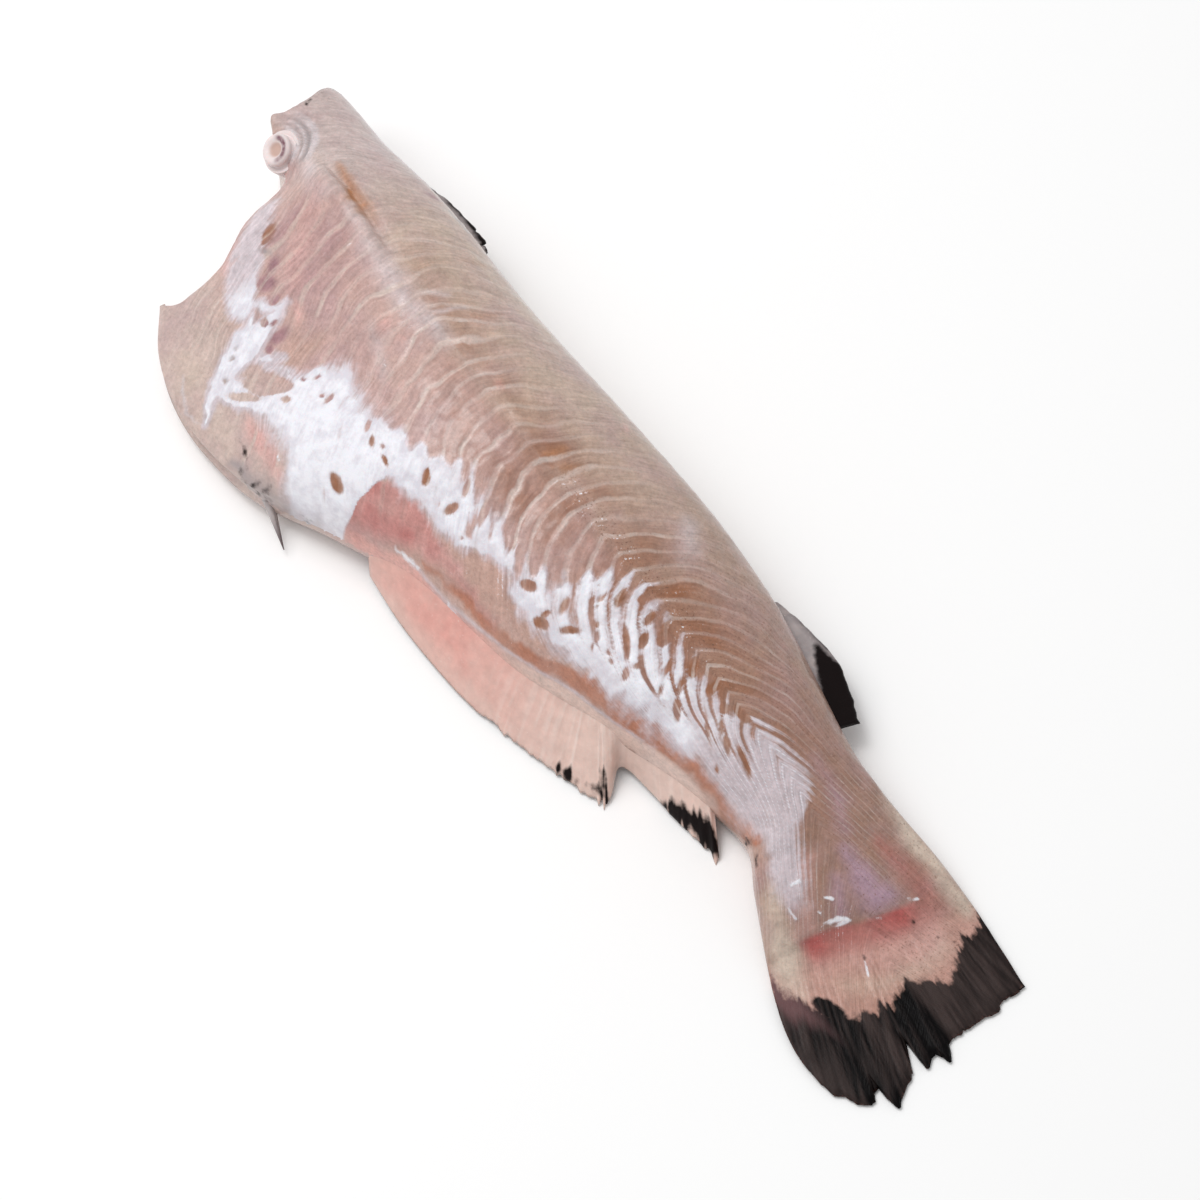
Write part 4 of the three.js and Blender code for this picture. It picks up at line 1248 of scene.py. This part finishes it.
def layered(tree, base, layers):
    """Lays colours over a base, each with the mask that says where it shows."""
    colour = base
    for over, mask in layers:
        colour = node(tree, "Mix", {0: mask, 6: colour, 7: over}, out=2, data_type="RGBA")
    return colour


def toned(tree, colour, noise, tones):
    """Makes a colour lighter and darker with the noise, by (pattern, share) pairs."""
    for name, swing in tones:
        limits = dict(zip(SPREAD, (*TONE_NOISE, 1 - swing, 1 + swing)))
        tone = node(tree, "MapRange", {"Value": noise[name], **limits})
        colour = node(tree, "VectorMath", {0: colour, "Scale": tone}, operation="SCALE")
    return colour


def strewn(tree, noise, limits, amount):
    """Noise that shows between two limits, as strongly as an amount says."""
    specks = node(tree, "MapRange", {"Value": noise, **dict(zip(SPREAD, limits))})
    return node(tree, "Math", {0: specks, 1: amount}, operation="MULTIPLY")


def torn_edge(tree, depth, tear, limits):
    """Mask of what lies inside an edge, from how deep each point is and how far a tear moves it."""
    moved = node(tree, "Math", {0: depth, 1: tear}, operation="ADD")
    softened = {"Value": moved, **dict(zip(SPREAD, limits))}
    return node(tree, "MapRange", softened, interpolation_type="SMOOTHSTEP")


def wet_surface(tree, colour, rough, height, film):
    """Ends a material in wet raw flesh: matt under a coat of water, with light that soaks in a little."""
    bump = node(tree, "Bump", {"Height": height, "Strength": BUMP_STRENGTH, "Distance": BUMP_DEPTH * MM})
    skin = node(tree, "BsdfPrincipled", {
        "Base Color": colour, "Roughness": rough, "Normal": bump, "IOR": FLESH_IOR,
        "Specular IOR Level": FLESH_SPECULAR, "Coat Weight": film, "Coat Roughness": WATER_ROUGH,
        "Coat IOR": WATER_IOR, "Subsurface Weight": SOAK, "Subsurface Scale": SOAK_DEPTH * MM,
        "Subsurface Radius": SOAK_COLOURS})
    node(tree, "OutputMaterial", {"Surface": skin})


def muscle_fibres(tree, look, field):
    """Noise drawn out along the muscle walls, as the fibres run, and even where the flesh shows no grain."""
    place = node(tree, "TexCoord", out="Object")
    across = node(tree, "Math", {0: field["block"], 1: FIBRES_PER_BLOCK}, operation="MULTIPLY")
    run = node(tree, "SeparateXYZ", {0: place}, out="Y")
    run = node(tree, "Math", {0: run, 1: 1 / look.fibre}, operation="MULTIPLY")
    strand = node(tree, "CombineXYZ", {"X": across, "Y": run})
    strand = node(tree, "TexNoise", {"Vector": strand, "Scale": 1, **FIBRE_NOISE})
    return node(tree, "Mix", {0: field["grained"], 2: NOISE_MIDDLE, 3: strand})


def wall_lines(tree, noise, field):
    """Thin ragged walls between the muscle blocks, faint in places."""
    from_wall = node(tree, "Math", {0: field["block"], 1: 0.5}, operation="PINGPONG")
    from_wall = node(tree, "Math", {0: noise["tear"], 1: WALL_RAGGED, 2: from_wall}, operation="MULTIPLY_ADD")
    limits = {"From Min": WALL_WIDTH + WALL_RAGGED / 2, "From Max": WALL_CORE + WALL_RAGGED / 2}
    line = node(tree, "MapRange", {"Value": from_wall, **limits}, interpolation_type="SMOOTHSTEP")
    line = strewn(tree, noise["patch"], WALL_FAINT, line)
    return node(tree, "Math", {0: line, 1: field["wall"]}, operation="MULTIPLY")


def torn_masks(tree, noise, field):
    """Masks of the membrane, which frays along the fibres, of the white streaks of painted highlight and pale
    thread, and of the black skin.
    """
    tear, fray = (node(tree, "MapRange", {"Value": noise[name], **dict(zip(SPREAD, TEAR_NOISE))})
                  for name in ("tear", "fibre"))
    frayed = node(tree, "Mix", {0: FRAYED, 2: tear, 3: fray})
    moves = {"film": frayed, "silver": frayed, "streak": tear, "soot": tear}
    return {name: torn_edge(tree, field[name], moves[name], TORN_EDGE) for name in EDGES}


def membrane_colour(tree, noise, tint, thick):
    """Silver membrane with dull patches along its fibres, fewer where it lies thick: its middle is whiter,
    partly as thicker membrane and partly as a painted highlight.
    """
    dull = node(tree, "Math", {0: thick, 1: -THICK_GLARE_CLEARER, 2: noise["patch"]}, operation="MULTIPLY_ADD")
    dull = node(tree, "Math", {0: noise["fibre"], 1: DULL_FIBRE, 2: dull}, operation="MULTIPLY_ADD")
    dull = node(tree, "MapRange", {"Value": dull, **dict(zip(SPREAD, DULL_NOISE))})
    return layered(tree, tint["silver"], [(tint["pearl"], dull)])


def flesh_material(look):
    """Raw skinned fish muscle: matt fibres under a wet film, with silver membrane and a black tail margin.

    The pale walls, torn membrane, stains, and the painted glints, sheen and shade follow the fields kept on
    the mesh; noise breaks their edges.
    """
    material, tree, noise, tint, field = fish_material("wet_raw_catfish_flesh", look, TINTS + EDGES + AMOUNTS)
    noise["fibre"] = muscle_fibres(tree, look, field)
    field["wall"] = wall_lines(tree, noise, field)
    mask = torn_masks(tree, noise, field)
    clouds = node(tree, "MapRange", {"Value": noise["cloud"], **dict(zip(SPREAD, BLUSH_NOISE))})
    flecks = strewn(tree, noise["speck"], FLECK_NOISE, field["fleck"])
    # Pale specks where two noises peak: painted glints of the wet film, partly specks of pale tissue
    pale = node(tree, "Math", {0: noise["speck"], 1: noise["fibre"]}, operation="ADD")
    glints = strewn(tree, pale, GLINT_NOISE, field["glint"])
    thin_film = node(tree, "Math", {0: mask["film"], 1: FILM_COVER}, operation="MULTIPLY")
    muscle = [(tint[name], field[name]) for name in REGIONS] + [(tint["blush"], clouds)]
    muscle += [(tint[name], field[name]) for name in STAINS]
    muscle += [(tint["fleck"], flecks), (tint["film"], thin_film)]
    colour = toned(tree, layered(tree, tint["back"], muscle), noise, FLESH_TONES)
    membrane = membrane_colour(tree, noise, tint, field["thick"])
    black = layered(tree, tint["soot"], [(tint["plum"], field["thin"]), (tint["haze"], field["haze"])])
    # The glint specks and white streaks are laid in the membrane's colour: painted highlights of the wet
    # film, partly pale tissue
    colour = layered(tree, colour, [(membrane, mask["silver"]), (tint["skin"], field["skin"]),
                                    (tint["silver"], glints), (tint["silver"], mask["streak"]),
                                    (black, mask["soot"])])
    rough = node(tree, "MapRange", {"Value": noise["patch"], **dict(zip(SPREAD, FLESH_ROUGH))})
    height = node(tree, "Math", {0: noise["grain"], 1: noise["tear"]}, operation="ADD")
    height = node(tree, "Math", {0: height, 1: noise["fibre"]}, operation="ADD")
    film = node(tree, "MapRange", {"Value": mask["soot"], "To Min": look.wet, "To Max": BLACK_WET})
    wet_surface(tree, colour, rough, height, film)
    return material


def body_mesh():
    """The skinless body and tail fan in one closed skin."""
    opened = np.concatenate([np.linspace(0, 1, CUT_ROWS, endpoint=False),
                             np.ones(NECK_ROWS + FLANK_ROWS + FAN_ROWS - RIM_ROWS),
                             np.sqrt(np.linspace(1, 0, RIM_ROWS + 1))])
    stations = np.concatenate([np.full(CUT_ROWS, NECK_STATION),
                               np.linspace(NECK_STATION, FIRST_WALL, NECK_ROWS, endpoint=False),
                               np.linspace(FIRST_WALL, FLESH_END, FLANK_ROWS, endpoint=False),
                               np.linspace(FLESH_END, FAN_END, FAN_ROWS + 1)])
    over = np.concatenate([np.linspace(-1, 0, BELLY_COLUMNS, endpoint=False),
                           np.linspace(0, 1, BACK_COLUMNS + 1)])
    under = over[-1 - UNDER_STEP::-UNDER_STEP]
    even = np.concatenate([over, under])
    above = np.arange(len(even)) < len(over)

    def place(row, column):
        station = stations[row].astype(float)
        crowded = np.sin(np.pi / 2 * even[column])
        q = lerp(crowded, even[column], ramp(station, LAST_WALL, FLESH_END))
        x, y, z = body_surface(station, q, above[column], opened[row])
        return (x, y, z), flesh_fields(Skin(x, y, q, above[column], opened[row]))

    bm = wrapped_grid(len(stations), len(even), place)
    raise_relief(bm)
    return bm


def edge_curve(points):
    """A smooth curve through points spread evenly from 0 to 1, which gives a row of coordinates each."""
    spread = np.linspace(0, 1, len(points))
    curves = [along(list(zip(spread, axis))) for axis in zip(*points)]

    def curve(place):
        return np.stack([axis(place) for axis in curves], 1)

    return curve


def fin_mesh(fin):
    """A fin as a tapering sheet, closed at its root, rim and ends, with rays and a frayed rim."""
    steps, rise = fin["steps"]
    root_curve = edge_curve(fin["root"])
    rim_curve = edge_curve(fin["rim"])

    def place(row, column):
        u = row / steps
        v = 1 - np.abs(column / rise - 1)
        upper = column < rise
        root = root_curve(u)
        ray = rim_curve(u) - root
        length = np.linalg.norm(ray, axis=1)
        waves = u * fin["rays"] * FIN_WAVES
        ends = along(fin["fray"])(u) * mottle(waves, np.zeros_like(u), 1, SEED["fin fray"])
        for spike, reach, half in fin["spikes"]:
            ends = ends + reach * np.clip(1 - np.abs(u - spike) / half, 0, 1)
        ray = ray * (1 + ends / length)[:, None]
        tangent = root_curve(np.minimum(u + FIN_NUDGE, 1)) - root_curve(np.maximum(u - FIN_NUDGE, 0))
        normal = np.cross(tangent, ray)
        normal = normal / np.linalg.norm(normal, axis=1)[:, None]
        normal = normal * np.sign(normal[:, 2:3])
        ray_wave = mottle(waves, v * FIN_WAVES, 1, SEED["fin rays"])
        close = ramp(u, 0, FIN_END) * ramp(1 - u, 0, FIN_END)
        close = close * np.minimum(1, np.sqrt(v / FIN_ROOT)) * np.sqrt(1 - v ** FIN_EDGE)
        show = along(fin["show"])(u)
        half = (lerp(*fin["thick"], np.sqrt(v)) / 2 + RAY_LIFT * ray_wave * show) * close
        middle = root + ray * v[:, None]
        middle[:, 2] -= ray[:, 2] * FIN_ARCH * np.sin(np.pi * v)
        x, y, z = (middle + normal * np.where(upper, half, -half)[:, None]).T
        fields = {
            "far": np.maximum(along(fin["far"])(u), FIN_PALER * ramp(v, *FIN_PALE_RIM)),
            "ray": np.clip(ray_wave, 0, 1) * show,
            "dark": inside_bands(x, y, fin["dark"]) + fin["torn"] * ray_wave,
        }
        return (x, y, np.maximum(z, FIN_FLOOR)), fields

    return wrapped_grid(steps + 1, 2 * rise + 1, place)


def fin_material(name, look, base, far):
    """Thin fin web over soft rays: base at the front, far towards the rear, black skin where it is dark."""
    material, tree, noise, tint, field = fish_material(name, look, FIN_FIELDS)
    tear = node(tree, "MapRange", {"Value": noise["tear"], **dict(zip(SPREAD, FIN_TEAR_NOISE))})
    black = torn_edge(tree, field["dark"], tear, FIN_TORN_EDGE)
    rays = node(tree, "Math", {0: field["ray"], 1: FIN_RAYS}, operation="MULTIPLY")
    # Pale specks in the ray colour: painted glints on the wet fin
    specks = node(tree, "MapRange", {"Value": noise["speck"], **dict(zip(SPREAD, FIN_GLINT_SPECKS))})
    clouds = node(tree, "MapRange", {"Value": noise["cloud"], **dict(zip(SPREAD, FIN_CLOUDS))})
    colour = layered(tree, tint[base], [(tint[far], field["far"]), (tint[far], clouds), (tint["ray"], rays),
                                        (tint["ray"], specks)])
    colour = toned(tree, colour, noise, FIN_TONES)
    colour = layered(tree, colour, [(tint["black"], black)])
    film = node(tree, "MapRange", {"Value": black, "To Min": FIN_WET, "To Max": BLACK_WET})
    wet_surface(tree, colour, FIN_ROUGH, noise["tear"], film)
    return material


def bone_mesh():
    """The bared end of the backbone, spun from its profile, with its tan core and a dark crescent of painted
    shade in its hollow as fields.
    """
    bm = bmesh.new()
    profile = edge_curve(BONE_PROFILE)(np.linspace(0, 1, BONE_STEPS))
    corners = [bm.verts.new((max(radius, 0) * MM, 0, height * MM)) for radius, height in profile.tolist()]
    edges = [bm.edges.new(pair) for pair in zip(corners, corners[1:])]
    bmesh.ops.spin(bm, geom=corners + edges, axis=(0, 0, 1), cent=(0, 0, 0), angle=math.tau, steps=BONE_SIDES,
                   use_merge=True)
    bmesh.ops.remove_doubles(bm, verts=bm.verts, dist=JOIN)
    bmesh.ops.recalc_face_normals(bm, faces=bm.faces)
    turn = Vector((0, 0, 1)).rotation_difference(Vector(BONE_AXIS)).to_matrix()
    inward = turn.inverted() @ Vector(BONE_INWARD)
    core, marrow = (bm.verts.layers.float.new(name) for name in BONE_FIELDS)
    for vertex in bm.verts:
        flat = Vector((vertex.co.x, vertex.co.y, 0)) / MM
        facing = flat.normalized().dot(inward)
        vertex[core] = float(ramp(flat.length, *BONE_CORE))
        vertex[marrow] = float(within(flat.length, *BONE_RING) * ramp(facing, *BONE_FACING))
    bmesh.ops.rotate(bm, verts=bm.verts, cent=(0, 0, 0), matrix=turn)
    bmesh.ops.translate(bm, verts=bm.verts, vec=metres(BONE_CENTRE))
    return bm


def bone_material(look):
    """Cut bone: chalky pink, tan in the middle, with a dark crescent of painted shade in its hollow, on the
    side of the flesh.
    """
    material, tree, noise, tint, field = fish_material("cut_fish_bone", look, BONE_FIELDS)
    marrow = strewn(tree, noise["tear"], HOLLOW_SHADE_NOISE, field["marrow"])
    colour = layered(tree, tint["bone"], [(tint["core"], field["core"]), (tint["marrow"], marrow)])
    wet_surface(tree, colour, BONE_ROUGH, noise["tear"], BONE_WET)
    return material


def spine_mesh(radius):
    """The pelvic spine as a flattened cone, streaked along its length and darker towards its tip."""
    root, tip = Vector(metres(SPINE_ROOT)), Vector(metres(SPINE_TIP))
    length = (tip - root).length
    bm = bmesh.new()
    bmesh.ops.create_cone(bm, cap_ends=True, segments=SPINE_SIDES, radius1=radius, radius2=SPINE_END * MM,
                          depth=length)
    lengthwise = [edge for edge in bm.edges if abs(edge.verts[0].co.z - edge.verts[1].co.z) > JOIN]
    bmesh.ops.subdivide_edges(bm, edges=lengthwise, cuts=SPINE_CUTS, use_grid_fill=True)
    far, ray, dark = (bm.verts.layers.float.new(name) for name in FIN_FIELDS)
    for vertex in bm.verts:
        rise = vertex.co.z / length
        around = math.atan2(vertex.co.y, vertex.co.x) * SPINE_RADIUS
        vertex[far] = float(ramp(rise + 0.5, *SPINE_DARK))
        vertex[ray] = 0
        vertex[dark] = SPINE_STREAK + float(mottle(np.array(around), np.array(rise), 1, SEED["spine"]))
    bmesh.ops.scale(bm, verts=bm.verts, vec=(1, SPINE_FLAT, 1))
    turn = Vector((0, 0, 1)).rotation_difference(tip - root).to_matrix()
    bmesh.ops.rotate(bm, verts=bm.verts, cent=(0, 0, 0), matrix=turn)
    bmesh.ops.translate(bm, verts=bm.verts, vec=(root + tip) / 2)
    return bm


def make_floor(scene, look):
    """A plain pale floor of matt paper, just under the fish."""
    bm = bmesh.new()
    bmesh.ops.create_grid(bm, x_segments=1, y_segments=1, size=look.floor_size)
    bmesh.ops.translate(bm, verts=bm.verts, vec=(0, 0, CAD_LOW.z - FLOOR_GAP * MM))
    mesh = bpy.data.meshes.new("floor")
    bm.to_mesh(mesh)
    bm.free()
    material, tree = new_material("plain_pale_floor")
    paper = node(tree, "BsdfPrincipled", {"Base Color": (*look.floor, 1), "Roughness": FLOOR_ROUGH})
    node(tree, "OutputMaterial", {"Surface": paper})
    mesh.materials.append(material)
    floor = bpy.data.objects.new("floor", mesh)
    scene.collection.objects.link(floor)


def make_light(scene, look, target):
    """Even light from all sides, a large soft lamp, and a small one that shows the wet film."""
    world = bpy.data.worlds.new("soft_studio")
    world.use_nodes = True
    background = world.node_tree.nodes["Background"]
    background.inputs["Color"].default_value = (1, 1, 1, 1)
    background.inputs["Strength"].default_value = look.sky
    scene.world = world
    for name, (size, offset) in LAMPS.items():
        lamp = bpy.data.lights.new(name, "AREA")
        lamp.energy = getattr(look, name)
        lamp.size = size
        lit = bpy.data.objects.new(name, lamp)
        lit.location = target + Vector(offset)
        lit.rotation_euler = Vector(offset).to_track_quat("Z", "Y").to_euler()
        scene.collection.objects.link(lit)


def make_camera(scene, look, target):
    """The camera, which looks at the target from above the belly side and the tail."""
    turn, rise = math.radians(CAMERA_TURN), math.radians(CAMERA_RISE)
    back = Vector((math.sin(turn) * math.cos(rise), -math.cos(turn) * math.cos(rise), math.sin(rise)))
    lens = bpy.data.cameras.new("camera")
    lens.lens = look.lens
    camera = bpy.data.objects.new("camera", lens)
    camera.location = target + back * look.distance
    camera.rotation_euler = (-back).to_track_quat("-Z", "Y").to_euler()
    scene.collection.objects.link(camera)
    scene.camera = camera


class CATFISH_OT_flesh(bpy.types.Operator):
    """Makes the skinned body with its tail"""
    bl_idname = "catfish.flesh"
    bl_label = "Flesh and tail"

    def execute(self, context):
        finish_piece(body_mesh(), "flesh_and_tail", flesh_material(context.scene.catfish_flesh))
        return {"FINISHED"}


class CATFISH_OT_anal_fin(bpy.types.Operator):
    """Makes the fin under the tail stalk, with its notch"""
    bl_idname = "catfish.anal_fin"
    bl_label = "Anal fin"

    def execute(self, context):
        web = fin_material("salmon_fin_web", context.scene.catfish_fins, "salmon", "cream")
        finish_piece(fin_mesh(ANAL_FIN), "anal_fin", web)
        return {"FINISHED"}


class CATFISH_OT_back_fins(bpy.types.Operator):
    """Makes the fleshy fin near the tail and the strip of skin left by the cut fin"""
    bl_idname = "catfish.back_fins"
    bl_label = "Back fins"

    def execute(self, context):
        skin = fin_material("dark_fin_skin", context.scene.catfish_fins, "grey", "slate")
        finish_piece(fin_mesh(ADIPOSE), "adipose_fin", skin)
        finish_piece(fin_mesh(BACK_STRIP), "back_skin_strip", skin)
        return {"FINISHED"}


class CATFISH_OT_backbone(bpy.types.Operator):
    """Makes the bared end of the backbone"""
    bl_idname = "catfish.backbone"
    bl_label = "Backbone end"

    def execute(self, context):
        finish_piece(bone_mesh(), "backbone_end", bone_material(context.scene.catfish_fins))
        return {"FINISHED"}


class CATFISH_OT_spine(bpy.types.Operator):
    """Makes the pelvic spine left on the belly edge"""
    bl_idname = "catfish.spine"
    bl_label = "Pelvic spine"

    def execute(self, context):
        look = context.scene.catfish_fins
        skin = fin_material("grey_spine_skin", look, "grey", "slate")
        finish_piece(spine_mesh(look.spine), "pelvic_spine", skin)
        return {"FINISHED"}


class CATFISH_OT_stage(bpy.types.Operator):
    """Makes the floor, the light and the camera"""
    bl_idname = "catfish.stage"
    bl_label = "Stage"

    def execute(self, context):
        scene = context.scene
        look = scene.catfish_stage
        target = Vector(metres(CAMERA_TARGET))
        scene.view_settings.view_transform = "Standard"
        make_floor(scene, look)
        make_light(scene, look, target)
        make_camera(scene, look, target)
        return {"FINISHED"}


LOOKS = {"catfish_flesh": FleshLook, "catfish_fins": FinLook, "catfish_stage": StageLook}
PIECES = [CATFISH_OT_flesh, CATFISH_OT_anal_fin, CATFISH_OT_back_fins, CATFISH_OT_backbone, CATFISH_OT_spine,
          CATFISH_OT_stage]


class CATFISH_PT_sidebar(bpy.types.Panel):
    """Lists the pieces of the fish and their looks"""
    bl_idname = "CATFISH_PT_sidebar"
    bl_label = "Dressed catfish"
    bl_space_type = "VIEW_3D"
    bl_region_type = "UI"
    bl_category = "Catfish"

    def draw(self, context):
        for piece in PIECES:
            self.layout.operator(piece.bl_idname)
        for group, kind in LOOKS.items():
            for name in kind.__annotations__:
                self.layout.prop(getattr(context.scene, group), name)


CLASSES = [*LOOKS.values(), *PIECES, CATFISH_PT_sidebar]


def register():
    """Registers the classes, and gives every scene the looks."""
    for made in CLASSES:
        bpy.utils.register_class(made)
    for group, kind in LOOKS.items():
        setattr(bpy.types.Scene, group, PointerProperty(type=kind))


def unregister():
    """Takes the looks and the classes away again."""
    for group in LOOKS:
        delattr(bpy.types.Scene, group)
    for made in reversed(CLASSES):
        bpy.utils.unregister_class(made)


def main():
    """Builds the fish and its stage."""
    register()
    bpy.ops.catfish.flesh()
    bpy.ops.catfish.anal_fin()
    bpy.ops.catfish.back_fins()
    bpy.ops.catfish.backbone()
    bpy.ops.catfish.spine()
    bpy.ops.catfish.stage()


if __name__ == "__main__":
    main()
